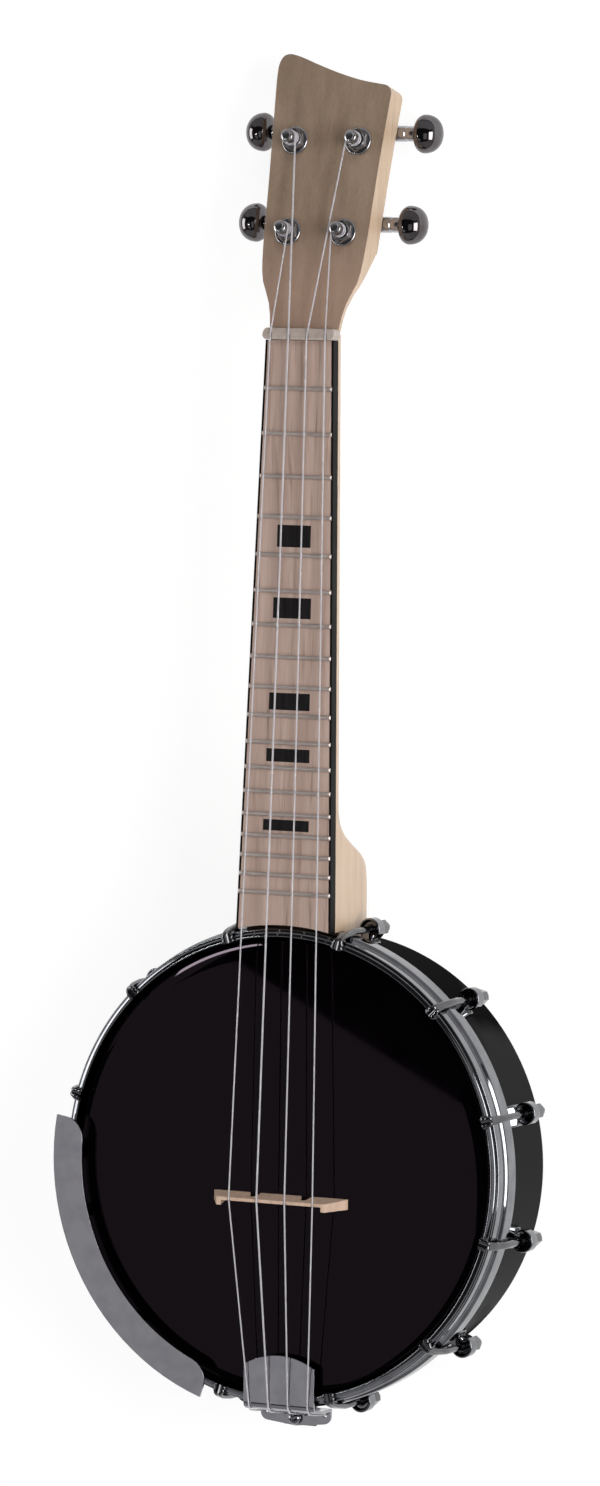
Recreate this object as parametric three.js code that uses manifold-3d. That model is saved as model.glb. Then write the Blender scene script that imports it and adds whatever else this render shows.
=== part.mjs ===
import * as THREE from 'three';
import { mergeVertices } from 'three/addons/utils/BufferGeometryUtils.js';
import Module from 'manifold-3d';

// Banjo ukulele, concert scale, open back. All lengths in millimetres.
// It lies on its back: the rear face of the wooden rim is z = 0, the head and the strings
// look up along +Z, and the neck runs along +Y. The origin is under the middle of the
// whole instrument.

const wasm = await Module();
wasm.setup();

// Points round a half circle or a domed end: share of the radius, share of the height
const domeShares = [[1, 0], [0.87, 0.6], [0.5, 0.93], [0, 1]];

// Clearances
const fit = 0.3;
const bond = 0.2;
const running = 0.4;
const overrun = 2;
const weld = 0.0001;

// Steps of curves that more than one piece uses
const cornerSteps = 4;
const archSteps = 14;
const holeSides = 10;

// Pot: wooden rim, head, tension hoop
const originShift = 49.55;
const rimOuter = 101.5;
const rimWall = 9.5;
const rimHeight = 58.4;
const rimEdgeRound = 1.2;
const bearingSlope = 3;
const bearingWidth = 5;
const skinThickness = 0.7;
const skinCrown = 1.1;
const collarWall = 0.9;
const collarDrop = 8.4;
const fleshRingHeight = 3.4;
const fleshRingWidth = 3.3;
const hoopRise = 3;
const hoopLipClearance = 1.6;
const hoopLipWidth = 2.2;
const hoopLipHeight = 1.6;
const hoopShoulderReach = 5.7;
const hoopReach = 6.7;
const hoopHeight = 16.6;
const hoopBeadDepth = 9.2;
const hoopRound = 0.4;
const ringSteps = 56;

// Tension hooks and the shoes that they pass through
const hookCount = 12;
const hookRodRadius = 1.5;
const hookRodSides = 6;
const boltSides = 6;
const hookStandoff = 3.1;
const hookArmThickness = 2.2;
const hookArmWidth = 4.4;
const hookFootWidth = 6.4;
const hookFootReach = 3.2;
const hookFootOverhang = 0.5;
const hookBendReach = 5.1;
const hookBendDrop = 16;
const hookBendShares = [
  [0, 0], [0.3, 0.04], [0.55, 0.18], [0.75, 0.42], [0.92, 0.8], [1, 1],
];
const hookGroove = 0.6;
const hookChamfer = 0.73;
const hookTaperReach = 1.7;
const shoeFaceDepth = 28;
const shoeRadius = 5.6;
const shoeHeight = 6.7;
const shoeSides = 10;
const shoeDishRadius = 4.3;
const shoeDishDepth = 1.3;
const shoeStemWidth = 6.2;
const shoePadWidth = 9.4;
const shoePadHeight = 10.4;
const shoePadThickness = 1.8;
const shoeBoltRadius = 1.9;
const shoeBoltHeadRadius = 3.7;
const shoeBoltHeadHeight = 2.6;
const hookNutRadius = 3.7;
const hookNutHeight = 5.6;
const hookNutCrown = 2.6;

// Neck, heel and fingerboard
const scaleLength = 380;
const lastFretGap = 14.3;
const boardDropAtNut = 4.7;
const neckTilt = THREE.MathUtils.degToRad(1.2);
const boardThickness = 5;
const boardHalfAtNut = 15.6;
const neckHookGap = 6.55;
const bindingThickness = 0.9;
const fretCount = 18;
const fretWidth = 1.9;
const fretHeight = 1;
const fretTang = 0.6;
const fretCrownShares = [[1, 0.35], [0.6, 0.85], [0, 1], [-0.6, 0.85], [-1, 0.35]];
const neckDepthAtNut = 17.4;
const neckDepthAtHeel = 19.6;
const shaftShares = [0.66, 0.33, 0];
const heelDepth = 57.8;
const heelReach = 65;
const neckSectionSteps = 14;
const heelSteps = 14;
const neckSquareness = 2.15;
const heelSquareness = 6.5;
const heelTaperShare = 0.24;
const heelSweepShares = [
  [0, 0], [0.09, 0.02], [0.17, 0.09], [0.24, 0.25], [0.31, 0.5],
  [0.37, 0.75], [0.44, 0.92], [0.54, 0.985], [0.75, 1], [1.1, 1.01],
];

// Nut
const nutLength = 5.6;
const nutHalf = 17.5;
const nutTop = 2.3;
const nutBackTop = 0.9;
const nutCrestShare = 0.34;
const nutSlotDepth = 0.7;
const nutEndRound = 2.4;

// Headstock
const headTilt = THREE.MathUtils.degToRad(12.3);
const headThickness = 12.5;
const headLength = 125.4;
const headHalf = 25.6;
const headDrop = 4.4;
const headRootShares = [
  [0.655, -0.05, 2.1], [0.66, 0, 2.1], [0.69, 0.045, 2.1], [0.74, 0.088, 2.15],
  [0.83, 0.132, 2.3], [0.905, 0.167, 2.8], [0.945, 0.205, 4], [0.965, 0.243, 7],
  [0.98, 0.28, 18], [0.984, 0.3, 50],
];
const headEdgeShares = [[0.984, 0.295], [1.0, 0.36], [1.01, 0.43], [1.037, 0.574], [1.072, 0.72]];
const headLeftCornerShares = [[-1.115, 0.9], [-1.112, 0.952], [-1.07, 0.981], [-1.0, 0.996]];
const headCrownShares = [
  [-0.9, 1.0], [-0.7, 0.99], [-0.3, 0.9585], [0.117, 0.929], [0.527, 0.906], [0.926, 0.8925],
];
const headRightCornerShares = [[1.115, 0.889], [1.13, 0.882]];
const headEdgeSteps = 10;
const headCornerSteps = 8;

// Tuning machines: post, bushing, sealed gear housing, button
const upperPostAcross = 15.6;
const upperPostAlong = 85.5;
const lowerPostAcross = 13.6;
const lowerPostAlong = 43.7;
const postRadius = 2.9;
const postWaistRadius = 2.3;
const postWaistStart = 3.7;
const postWaistEnd = 7.8;
const postHeight = 10.4;
const postChamfer = 0.7;
const bushingBore = 3.3;
const bushingSleeve = 4.6;
const bushingSleeveLength = 9;
const washerRadius = 6.3;
const washerThickness = 1.1;
const bushingHexRadius = 5.5;
const bushingHexHeight = 1.8;
const gearOffset = 8;
const gearDepth = 4;
const gearRadius = 4.8;
const gearThickness = 3;
const pivotRadius = 1.6;
const pivotLength = 1.5;
const wormRadius = 2.7;
const wormHalfLength = 5.4;
const shaftRadius = 1.5;
const housingDepth = 8.2;
const housingInner = 7.6;
const housingOuter = 7.3;
const housingFront = 6.8;
const housingBack = 12.6;
const housingCorner = 3.6;
const housingCornerSteps = 3;
const earSteps = 8;
const collarEnd = 19.6;
const collarRootRadius = 3.65;
const collarEndRadius = 3.45;
const collarRootInset = 3.6;
const earReach = 10.4;
const earRadius = 3;
const earThickness = 1.8;
const earHole = 1.3;
const buttonRadius = 8.75;
const buttonLength = 12.3;
const buttonFlatShare = 0.9;
const buttonProfileShares = [
  [0.3, 0], [0.62, 0.03], [0.86, 0.12], [0.98, 0.26], [1, 0.38],
  [0.96, 0.56], [0.84, 0.74], [0.62, 0.89], [0.34, 0.97], [0, 1],
];
const turnSteps = 12;
const buttonSteps = 14;

// Strings and bridge
const stringDiameters = [0.85, 0.95, 0.9, 0.85];
const stringSides = 6;
const nutSpacing = 9;
const bridgeSpacing = 13.8;
const tailSpacingShare = 0.557;
const windingTurns = 2.25;
const windingPitch = 1.45;
const windingStart = 6.9;
const loopSteps = 16;
const knotSwell = 2.4;
const bridgeHeight = 11.1;
const bridgeFromScale = 2.9;
const bridgeTopHalf = 26.8;
const bridgeFootHalf = 33;
const bridgeTopThickness = 1.5;
const bridgeFootThickness = 3.1;
const bridgeArchHalf = 2.6;
const bridgeArchAcross = 12.6;
const bridgeArchHeight = 7.6;
const bridgeArchSteps = 8;
const bridgeEndRise = 0.6;
const bridgeEndDepth = 4.6;
const bridgeEndTopDepth = 3.7;
const bridgeEndInner = 27.6;
const bridgeEndTopInner = 24.6;
const bridgeNotchDepth = 0.6;

// Tailpiece, its bracket and bolts
const tailShift = 2.6;
const tailHookGap = 11.4;
const tailPlateThickness = 1.3;
const tailPlateLength = 19.8;
const tailArchRise = 5;
const tailBendReach = 4.4;
const tailBendDrop = 9.5;
const tailBendShares = [[0, 0], [0.35, 0.04], [0.62, 0.14], [0.78, 0.3], [1, 1]];
const tailWallDrop = 18.2;
const tailFlangeReach = 6;
const tailFlangeCrown = 1.5;
const tailFlangeRound = 3.6;
const stringHoleRadius = 1.1;
const stringHoleBack = 1.6;
const hangerFromWall = 3.9;
const hangerRadius = 1.5;
const hangerHeadRadius = 2.3;
const hangerHeadHeight = 2.6;
const bracketWidth = 13;
const bracketOverhang = 4.4;
const bracketThickness = 2;
const bracketDrop = 6;
const bracketFootDrop = 24;
const hangerNutRadius = 3;
const hangerNutHeight = 2.6;
const tailBoltRadius = 2.5;
const tailBoltHeadRadius = 4.4;
const tailBoltHeadHeight = 4.2;

// Coordinator rod between heel and tail
const rodBelowEdge = 34;
const rodRadius = 4;
const rodThreadRadius = 3.2;
const rodThreadLength = 38;
const rodTapDepth = 14;
const rodNutRadius = 6.4;
const rodNutHeight = 5;
const rodNutStandoff = 1.6;

// Armrest
const armStart = THREE.MathUtils.degToRad(-81);
const armEnd = THREE.MathUtils.degToRad(-161.4);
const armReach = 2.8;
const armWidth = 14.2;
const armThickness = 1.2;
const armLipDrop = 0.2;
const armLipWidth = 1;
const armCorner = 9;
const armSteps = 24;
const armAboveHooks = 0.75;
const armCornerSteps = 6;
const armLegAngles = [-90, -150].map(THREE.MathUtils.degToRad);
const armLegWidth = 9;
const armLegThickness = 1.4;
const armLegStandoff = 0.8;
const armLegBendDrop = 18.6;
const armLegFootTop = 22;
const armLegFootEnd = 33;

// Levels and places that follow from the sizes above
const potBack = (scaleLength - rimOuter) / 2 + originShift;
const rimInner = rimOuter - rimWall;
const hoopLipInner = rimOuter + hoopLipClearance;
const hoopUpperOuter = rimOuter + hoopShoulderReach;
const hoopOuter = rimOuter + hoopReach;
const hookCircle = hoopOuter + hookStandoff;
const boardHalfAtPot = hookCircle * Math.sin(Math.PI / hookCount) - neckHookGap;
const tailHalf = hookCircle * Math.sin(Math.PI / hookCount) - tailHookGap;
const tailSpacing = tailHalf * tailSpacingShare;
const rodFromRear = rimHeight - rodBelowEdge;
const armOuter = hoopOuter + armReach;
const armInner = armOuter - armWidth;
const skinUnder = rimHeight + fit;
const skinTop = skinUnder + skinThickness;
const hoopTop = skinTop + hoopRise;
const collarInner = rimOuter + fit;
const fleshTop = skinUnder - collarDrop + skinThickness;
const hoopStep = fleshTop + fit;
const fleshOuter = collarInner + fleshRingWidth;
const hookArmUnder = hoopTop + fit;
const hookArmTop = hookArmUnder + hookArmThickness;
const shoeTop = hoopTop - shoeFaceDepth;
const shoeMiddle = shoeTop - shoeHeight / 2;
const shoeBottom = shoeTop - shoeHeight;
const hookAngles = Array.from({ length: hookCount }, (_, i) => (i + 0.5) * 2 * Math.PI / hookCount);
const stringPlaces = [0, 1, 2, 3].map((i) => i - 1.5);
const fretFromNut = (n) => scaleLength * (1 - 2 ** (-n / 12));
const boardSpan = fretFromNut(fretCount) + lastFretGap;
const nutFromPot = hoopOuter + fit + boardSpan * Math.cos(neckTilt);
const boardLength = boardSpan - bindingThickness - bond;
const neckTop = -(boardThickness + bond);

// Materials
const paint = (color, roughness, metalness) =>
  new THREE.MeshStandardMaterial({ color, roughness, metalness });
const maple = paint(0xd9bd9b, 0.5, 0);
const boardMaple = paint(0xc9a98c, 0.55, 0);
const blackLacquer = paint(0x0b0b0c, 0.15, 0);
const blackPlastic = paint(0x141312, 0.4, 0);
const boneWhite = paint(0xdcd3c4, 0.45, 0);
const blackSkin = paint(0x0d0c0d, 0.12, 0);
const chrome = paint(0xb9bbbe, 0.12, 1);
const nylon = paint(0xe3e0da, 0.35, 0);

// Frames: pot, neck and headstock
const potFrame = new THREE.Matrix4().makeTranslation(0, -potBack, 0);
const neckFrame = new THREE.Matrix4()
  .makeTranslation(0, nutFromPot - potBack, hoopTop - boardDropAtNut)
  .multiply(new THREE.Matrix4().makeRotationX(-neckTilt));
const headFrame = neckFrame.clone()
  .multiply(new THREE.Matrix4().makeTranslation(0, nutLength, -headDrop))
  .multiply(new THREE.Matrix4().makeRotationX(-headTilt));

// Geometry helpers
function closed(geometry) {
  const bare = geometry.clone();
  bare.deleteAttribute('normal');
  bare.deleteAttribute('uv');
  const merged = mergeVertices(bare, weld);
  const p = merged.attributes.position;
  const kept = [];
  for (let i = 0; i < merged.index.count; i += 3) {
    const [a, b, c] = [0, 1, 2].map((k) => merged.index.getX(i + k));
    if (a !== b && b !== c && c !== a) kept.push([a, b, c]);
  }
  let volume = 0;
  const v = [new THREE.Vector3(), new THREE.Vector3(), new THREE.Vector3()];
  for (const face of kept) {
    face.forEach((index, k) => v[k].fromBufferAttribute(p, index));
    volume += v[0].dot(v[1].clone().cross(v[2]));
  }
  if (volume < 0) kept.forEach((face) => face.reverse());
  merged.setIndex(kept.flat());
  return merged;
}

function solid(geometry) {
  const g = closed(geometry);
  return new wasm.Manifold(new wasm.Mesh({
    numProp: 3,
    vertProperties: new Float32Array(g.attributes.position.array),
    triVerts: new Uint32Array(g.index.array),
  }));
}

function geometryOf(body) {
  const mesh = body.getMesh();
  const g = new THREE.BufferGeometry();
  g.setAttribute('position', new THREE.BufferAttribute(new Float32Array(mesh.vertProperties), 3));
  g.setIndex([...mesh.triVerts]);
  return g;
}

const part = new THREE.Group();

function place(name, shape, material, frame = new THREE.Matrix4()) {
  const geometry = closed(shape.isBufferGeometry ? shape : geometryOf(shape));
  geometry.computeVertexNormals();
  const mesh = new THREE.Mesh(geometry, material);
  mesh.name = name;
  mesh.applyMatrix4(frame);
  part.add(mesh);
  return mesh;
}

// A flat outline in X and Y, raised from low to high along Z
function slab(points, low, high) {
  const shape = new THREE.Shape(points.map(([x, y]) => new THREE.Vector2(x, y)));
  const options = { depth: high - low, bevelEnabled: false, steps: 1 };
  return new THREE.ExtrudeGeometry(shape, options).translate(0, 0, low);
}

// An outline in Y and Z, run across from x = low to x = high
function sideSlab(points, low, high) {
  const acrossX = new THREE.Matrix4().set(0, 0, 1, 0, 1, 0, 0, 0, 0, 1, 0, 0, 0, 0, 0, 1);
  return slab(points, low, high).applyMatrix4(acrossX);
}

// An outline in X and Z, run along from y = low to y = high
function frontSlab(points, low, high) {
  return slab(points, -high, -low).rotateX(Math.PI / 2);
}

// A profile of radius and height, turned about Z
function turned(profile, steps) {
  const points = profile.map(([r, z]) => new THREE.Vector2(r, z));
  return new THREE.LatheGeometry(points, steps).rotateX(Math.PI / 2);
}

function ring(profile, steps) {
  return turned([...profile, profile[0]], steps);
}

// The domed end of a turned piece, from its full radius at start to its tip
function dome(radius, start, height) {
  return domeShares.map(([r, z]) => [r * radius, start + z * height]);
}

function rod(radius, low, high, sides) {
  return new THREE.CylinderGeometry(radius, radius, high - low, sides)
    .rotateX(Math.PI / 2)
    .translate(0, 0, (low + high) / 2);
}

function rodAlongX(radius, low, high, sides) {
  return rod(radius, low, high, sides).rotateY(Math.PI / 2);
}

function rodAlongY(radius, low, high, sides) {
  return rod(radius, low, high, sides).rotateX(-Math.PI / 2);
}

function arc(centreX, centreY, radius, from, to, steps) {
  return Array.from({ length: steps + 1 }, (_, i) => {
    const angle = from + (to - from) * i / steps;
    return [centreX + radius * Math.cos(angle), centreY + radius * Math.sin(angle)];
  });
}

// A line moved sideways by a distance of its own at every point
function offsetLine(points, distances) {
  return points.map(([x, y], i) => {
    const [x0, y0] = points[Math.max(i - 1, 0)];
    const [x1, y1] = points[Math.min(i + 1, points.length - 1)];
    const length = Math.hypot(x1 - x0, y1 - y0);
    return [x - distances[i] * (y1 - y0) / length, y + distances[i] * (x1 - x0) / length];
  });
}

// A strip of even thickness bent along a line, as a closed outline
function bentStrip(points, thickness) {
  const other = offsetLine(points, points.map(() => thickness));
  return [...points, ...other.reverse()];
}

// Rings of points joined in order, closed by a flat cap at each end
function skinned(rings) {
  const count = rings[0].length;
  const positions = rings.flat().flatMap((p) => [p.x, p.y, p.z]);
  const index = [];
  for (let i = 0; i < rings.length - 1; i++) {
    for (let j = 0; j < count; j++) {
      const a = i * count + j;
      const b = i * count + (j + 1) % count;
      index.push(a, b, b + count, a, b + count, a + count);
    }
  }
  const last = (rings.length - 1) * count;
  for (let j = 1; j < count - 1; j++) {
    index.push(0, j + 1, j, last, last + j, last + j + 1);
  }
  const g = new THREE.BufferGeometry();
  g.setAttribute('position', new THREE.Float32BufferAttribute(positions, 3));
  g.setIndex(index);
  return g;
}

// A round section carried along a path, with its own radius at every point
function swept(points, radii, sides) {
  const tangents = points.map((_, i) => {
    const before = points[Math.max(i - 1, 0)];
    const after = points[Math.min(i + 1, points.length - 1)];
    return after.clone().sub(before).normalize();
  });
  const first = tangents[0];
  const helper = Math.abs(first.x) < 0.9 ? new THREE.Vector3(1, 0, 0) : new THREE.Vector3(0, 1, 0);
  const side = helper.clone().sub(first.clone().multiplyScalar(helper.dot(first))).normalize();
  const rings = points.map((point, i) => {
    if (i > 0) {
      const turn = new THREE.Quaternion().setFromUnitVectors(tangents[i - 1], tangents[i]);
      side.applyQuaternion(turn);
      side.sub(tangents[i].clone().multiplyScalar(side.dot(tangents[i]))).normalize();
    }
    const other = tangents[i].clone().cross(side);
    return Array.from({ length: sides }, (_, k) => {
      const angle = 2 * Math.PI * k / sides;
      return point.clone()
        .addScaledVector(side, radii[i] * Math.cos(angle))
        .addScaledVector(other, radii[i] * Math.sin(angle));
    });
  });
  return skinned(rings);
}

// A frame that points its X outward from the pot's axis at an angle from the neck
function spoke(angle) {
  return potFrame.clone().multiply(new THREE.Matrix4().makeRotationZ(Math.PI / 2 - angle));
}

// Rim: a turned wooden ring with a bearing edge, drilled for the shoes and the rod
function makeRim() {
  const profile = [
    [rimInner + rimEdgeRound, 0], [rimOuter - rimEdgeRound, 0], [rimOuter, rimEdgeRound],
    [rimOuter, rimHeight - rimEdgeRound], [rimOuter - rimEdgeRound, rimHeight],
    [rimOuter - bearingWidth, rimHeight], [rimInner, rimHeight - bearingSlope],
    [rimInner, rimEdgeRound],
  ];
  let rim = solid(ring(profile, ringSteps));
  for (const angle of hookAngles) {
    const drill = rodAlongX(shoeBoltRadius + fit, rimInner - overrun, rimOuter + overrun, boltSides)
      .translate(0, 0, shoeMiddle)
      .rotateZ(Math.PI / 2 - angle);
    rim = rim.subtract(solid(drill));
  }
  const neckDrill = rodAlongY(rodThreadRadius + fit, rimInner - overrun, rimOuter + overrun, turnSteps)
    .translate(0, 0, rodFromRear);
  const tailDrill = rodAlongY(tailBoltRadius + fit, -rimOuter - overrun, overrun - rimInner, turnSteps)
    .translate(0, 0, rodFromRear);
  place('rim', rim.subtract(solid(neckDrill)).subtract(solid(tailDrill)), blackLacquer, potFrame);
}

// Head: the skin over the bearing edge, its collar and the ring that the hoop pulls on
function makeHead() {
  const profile = [
    [0, skinUnder], [rimOuter - skinCrown, skinUnder], [collarInner, skinUnder - skinCrown],
    [collarInner, fleshTop - fleshRingHeight], [fleshOuter, fleshTop - fleshRingHeight],
    [fleshOuter, fleshTop], [collarInner + collarWall, fleshTop],
    [collarInner + collarWall, skinTop - skinCrown], [rimOuter - skinCrown, skinTop],
    [0, skinTop],
  ];
  place('head', turned(profile, ringSteps), blackSkin, potFrame);
}

// Tension hoop: a raised lip, a shoulder for the hooks, and a beaded skirt
function makeHoop() {
  const lipOuter = hoopLipInner + hoopLipWidth;
  const shoulder = hoopTop - hoopLipHeight;
  const bead = hoopTop - hoopBeadDepth;
  const bottom = hoopTop - hoopHeight;
  const skirtInner = fleshOuter + fit;
  const profile = [
    [hoopLipInner, hoopStep], [hoopLipInner, hoopTop - hoopRound],
    [hoopLipInner + hoopRound, hoopTop], [lipOuter - hoopRound, hoopTop],
    [lipOuter, hoopTop - hoopRound], [lipOuter, shoulder],
    [hoopUpperOuter - hoopRound, shoulder], [hoopUpperOuter, shoulder - hoopRound],
    [hoopUpperOuter, bead + hoopRound], [hoopOuter, bead - hoopRound],
    [hoopOuter, bottom],
    [skirtInner, bottom], [skirtInner, hoopStep],
  ];
  place('tension_hoop', ring(profile, ringSteps), chrome, potFrame);
}

// Hooks: a flat claw over the hoop, a round rod, and the domed nut that tightens it
function makeHook() {
  const inner = hoopLipInner - hookFootOverhang;
  const rodOuter = hookCircle + hookRodRadius;
  const bendStart = rodOuter - hookBendReach;
  const bend = hookBendShares.map(([out, down]) => [
    bendStart + out * hookBendReach, hookArmTop - down * hookBendDrop,
  ]);
  const grown = hookRodRadius * 2 - hookArmThickness;
  const under = offsetLine(bend, hookBendShares.map(([out]) => -(hookArmThickness + grown * out)));
  const side = [
    [inner, hookArmUnder], [inner, hookArmTop - hookChamfer], [inner + hookChamfer, hookArmTop],
    ...bend, ...under.reverse(),
  ];
  const footHalf = hookFootWidth / 2;
  const armHalf = hookArmWidth / 2;
  const footEnd = inner + hookFootReach;
  const neckEnd = footEnd + hookFootOverhang;
  const plan = [
    [inner - overrun, -footHalf], [footEnd, -footHalf], [neckEnd, -armHalf],
    [bendStart + hookTaperReach, -armHalf], [rodOuter + overrun, -hookRodRadius],
    [rodOuter + overrun, hookRodRadius], [bendStart + hookTaperReach, armHalf],
    [neckEnd, armHalf], [footEnd, footHalf], [inner - overrun, footHalf],
  ];
  const low = hookArmTop - hookBendDrop;
  const groove = frontSlab([
    [inner - overrun, hookArmTop - hookGroove], [neckEnd, hookArmTop - hookGroove],
    [neckEnd + hookGroove, hookArmTop + overrun], [inner - overrun, hookArmTop + overrun],
  ], -hookGroove, hookGroove);
  const claw = solid(frontSlab(side, -footHalf, footHalf))
    .intersect(solid(slab(plan, low - overrun, hookArmTop + overrun)))
    .subtract(solid(groove));
  const nutTopLevel = shoeBottom - fit;
  const nutLow = nutTopLevel - hookNutHeight;
  const stem = rod(hookRodRadius, nutLow - hookNutCrown / 2, low + hookRodRadius, hookRodSides)
    .rotateZ(Math.PI / hookRodSides)
    .translate(hookCircle, 0, 0);
  const nut = turned([
    ...dome(hookNutRadius, nutLow, -hookNutCrown).reverse(), [hookNutRadius, nutTopLevel],
    [0, nutTopLevel],
  ], boltSides).translate(hookCircle, 0, 0);
  return claw.add(solid(stem)).add(solid(nut));
}

// Shoes: a dished drum that the rod passes through, a stem and pad on the rim, and a bolt
function makeShoe() {
  const drum = rod(shoeRadius, shoeBottom, shoeTop, shoeSides).translate(hookCircle, 0, 0);
  const dish = rod(shoeDishRadius, shoeTop - shoeDishDepth, shoeTop + overrun, shoeSides)
    .translate(hookCircle, 0, 0);
  const bore = rod(hookRodRadius + running, shoeBottom - overrun, shoeTop + overrun, shoeSides)
    .translate(hookCircle, 0, 0);
  const padInner = rimOuter + fit;
  const padHalf = shoePadWidth / 2;
  const stemHalf = shoeStemWidth / 2;
  const padFace = padInner + shoePadThickness;
  const plan = [
    [padInner, -padHalf], [padFace - fit, -padHalf], [padFace, -stemHalf],
    [hookCircle, -stemHalf], [hookCircle, stemHalf], [padFace, stemHalf],
    [padFace - fit, padHalf], [padInner, padHalf],
  ];
  const padHigh = shoeMiddle + shoePadHeight / 2;
  const padLow = shoeMiddle - shoePadHeight / 2;
  const side = [
    [padInner, padLow], [padFace, padLow], [padFace + shoePadThickness, shoeBottom + fit],
    [hookCircle, shoeBottom + fit], [hookCircle, shoeTop - shoeDishDepth - fit],
    [padFace + shoePadThickness, shoeTop - fit], [padFace, padHigh], [padInner, padHigh],
  ];
  const stem = solid(slab(plan, padLow, padHigh))
    .intersect(solid(frontSlab(side, -padHalf, padHalf)));
  const headFace = rimInner - fit;
  const bolt = rodAlongX(shoeBoltRadius, headFace - fit, padInner + fit, boltSides)
    .translate(0, 0, shoeMiddle);
  const boltHead = rodAlongX(shoeBoltHeadRadius, headFace - shoeBoltHeadHeight, headFace, boltSides)
    .translate(0, 0, shoeMiddle);
  return solid(drum).add(stem).subtract(solid(dish)).subtract(solid(bore))
    .add(solid(bolt)).add(solid(boltHead));
}

function makeTensioners() {
  const hook = geometryOf(makeHook());
  const shoe = geometryOf(makeShoe());
  hookAngles.forEach((angle, i) => {
    const number = String(i + 1).padStart(2, '0');
    place(`hook_${number}`, hook, chrome, spoke(angle));
    place(`shoe_${number}`, shoe, chrome, spoke(angle));
  });
}

// Half width of the fingerboard at a distance from the nut
function boardHalf(distance) {
  return boardHalfAtNut + (boardHalfAtPot - boardHalfAtNut) * distance / boardSpan;
}

// Section that is flat on top and round behind, with its corners squarer and its sides
// drawn in towards the back
function backSection(y, half, top, depth, squareness, taper) {
  const points = [];
  for (let i = 0; i <= neckSectionSteps; i++) {
    const angle = Math.PI * i / neckSectionSteps;
    const across = Math.sign(Math.cos(angle)) * Math.abs(Math.cos(angle)) ** (2 / squareness);
    const onTop = i === 0 || i === neckSectionSteps;
    const down = onTop ? 0 : Math.abs(Math.sin(angle)) ** (2 / squareness);
    points.push(new THREE.Vector3(half * across * (1 - taper * down), y, top - depth * down));
  }
  return points;
}

function headOutline() {
  const at = ([across, along]) => [across * headHalf, along * headLength];
  const curve = (shares, steps) => new THREE.SplineCurve(shares.map((s) => new THREE.Vector2(...at(s))))
    .getPoints(steps)
    .map((p) => [p.x, p.y]);
  const right = curve(headEdgeShares, headEdgeSteps);
  const left = right.map(([x, y]) => [-x, y]).reverse();
  const corner = curve([...headLeftCornerShares, headCrownShares[0]], headCornerSteps).reverse();
  const crown = curve(headCrownShares, archSteps).reverse();
  return [...right, ...headRightCornerShares.map(at).reverse(), ...crown, ...corner.slice(1), ...left];
}

// Neck: shaft and heel lofted as one, joined to the tilted headstock through a rounded
// root, then cut to the pot and drilled for the posts and for the coordinator rod
function makeNeck() {
  const edge = bindingThickness + bond;
  const heelStart = boardSpan - heelReach + rimWall;
  const sweep = new THREE.SplineCurve(heelSweepShares.map(([a, b]) => new THREE.Vector2(a, b)));
  const heel = sweep.getPoints(heelSteps).map((p) => {
    const distance = heelStart + heelReach * p.x;
    const depth = neckDepthAtHeel + (heelDepth - neckDepthAtHeel) * p.y;
    const squareness = neckSquareness + (heelSquareness - neckSquareness) * p.y;
    return backSection(-distance, boardHalf(Math.min(distance, boardSpan)) + edge, neckTop,
      depth + neckTop, squareness, heelTaperShare * Math.max(p.y, 0));
  }).reverse();
  const shaft = shaftShares.map((share) => {
    const distance = heelStart * share;
    const depth = neckDepthAtNut + (neckDepthAtHeel - neckDepthAtNut) * share;
    return backSection(-distance, boardHalf(distance) + edge, neckTop, depth + neckTop,
      neckSquareness, 0);
  });
  const underNut = backSection(nutLength / 2, boardHalfAtNut + edge, neckTop,
    neckDepthAtNut + neckTop, neckSquareness, 0);
  let neck = solid(skinned([...heel, ...shaft, underNut]).applyMatrix4(neckFrame));
  const root = skinned(headRootShares.map(([half, along, squareness]) =>
    backSection(along * headLength, half * headHalf, 0, headThickness, squareness, 0)));
  const headstock = solid(root.applyMatrix4(headFrame))
    .add(solid(slab(headOutline(), -headThickness, 0).applyMatrix4(headFrame)));
  const overLedge = solid(slab([
    [-headHalf, -headThickness], [headHalf, -headThickness],
    [headHalf, nutLength], [-headHalf, nutLength],
  ], neckTop, headThickness).applyMatrix4(neckFrame));
  neck = neck.add(headstock.subtract(overLedge));
  const drill = bushingSleeve + fit;
  const postPlaces = [[upperPostAcross, upperPostAlong], [lowerPostAcross, lowerPostAlong]];
  for (const side of [-1, 1]) {
    for (const [across, along] of postPlaces) {
      const hole = rod(drill, -headThickness - overrun, overrun, turnSteps)
        .translate(side * across, along, 0)
        .applyMatrix4(headFrame);
      neck = neck.subtract(solid(hole));
    }
  }
  const potCut = rod(rimOuter + fit, -overrun, hoopTop, ringSteps).applyMatrix4(potFrame);
  const hoopLow = hoopTop - hoopHeight - fit;
  const hoopCut = rod(hoopOuter + fit, hoopLow, hoopTop + overrun, ringSteps).applyMatrix4(potFrame);
  const rodHole = rodAlongY(rodThreadRadius + fit, 0, rodEnd() + fit, turnSteps)
    .translate(0, 0, rodFromRear)
    .applyMatrix4(potFrame);
  neck = neck.subtract(solid(potCut)).subtract(solid(hoopCut)).subtract(solid(rodHole));
  place('neck', neck, maple);
}

// Fingerboard: a tapered board with its frets set at the scale's stops
function makeFingerboard() {
  let board = solid(slab([
    [-boardHalf(boardLength), -boardLength], [boardHalf(boardLength), -boardLength],
    [boardHalfAtNut, 0], [-boardHalfAtNut, 0],
  ], -boardThickness, 0));
  for (let n = 1; n <= fretCount; n++) {
    const stop = fretFromNut(n);
    const half = boardHalf(stop);
    const crown = fretWidth / 2;
    const profile = [
      [-stop - crown, -fretTang], [-stop + crown, -fretTang],
      ...fretCrownShares.map(([out, up]) => [-stop + out * crown, up * fretHeight]),
    ];
    board = board.add(solid(sideSlab(profile, bond - half, half - bond)));
  }
  place('fingerboard', board, boardMaple, neckFrame);
}

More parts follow.
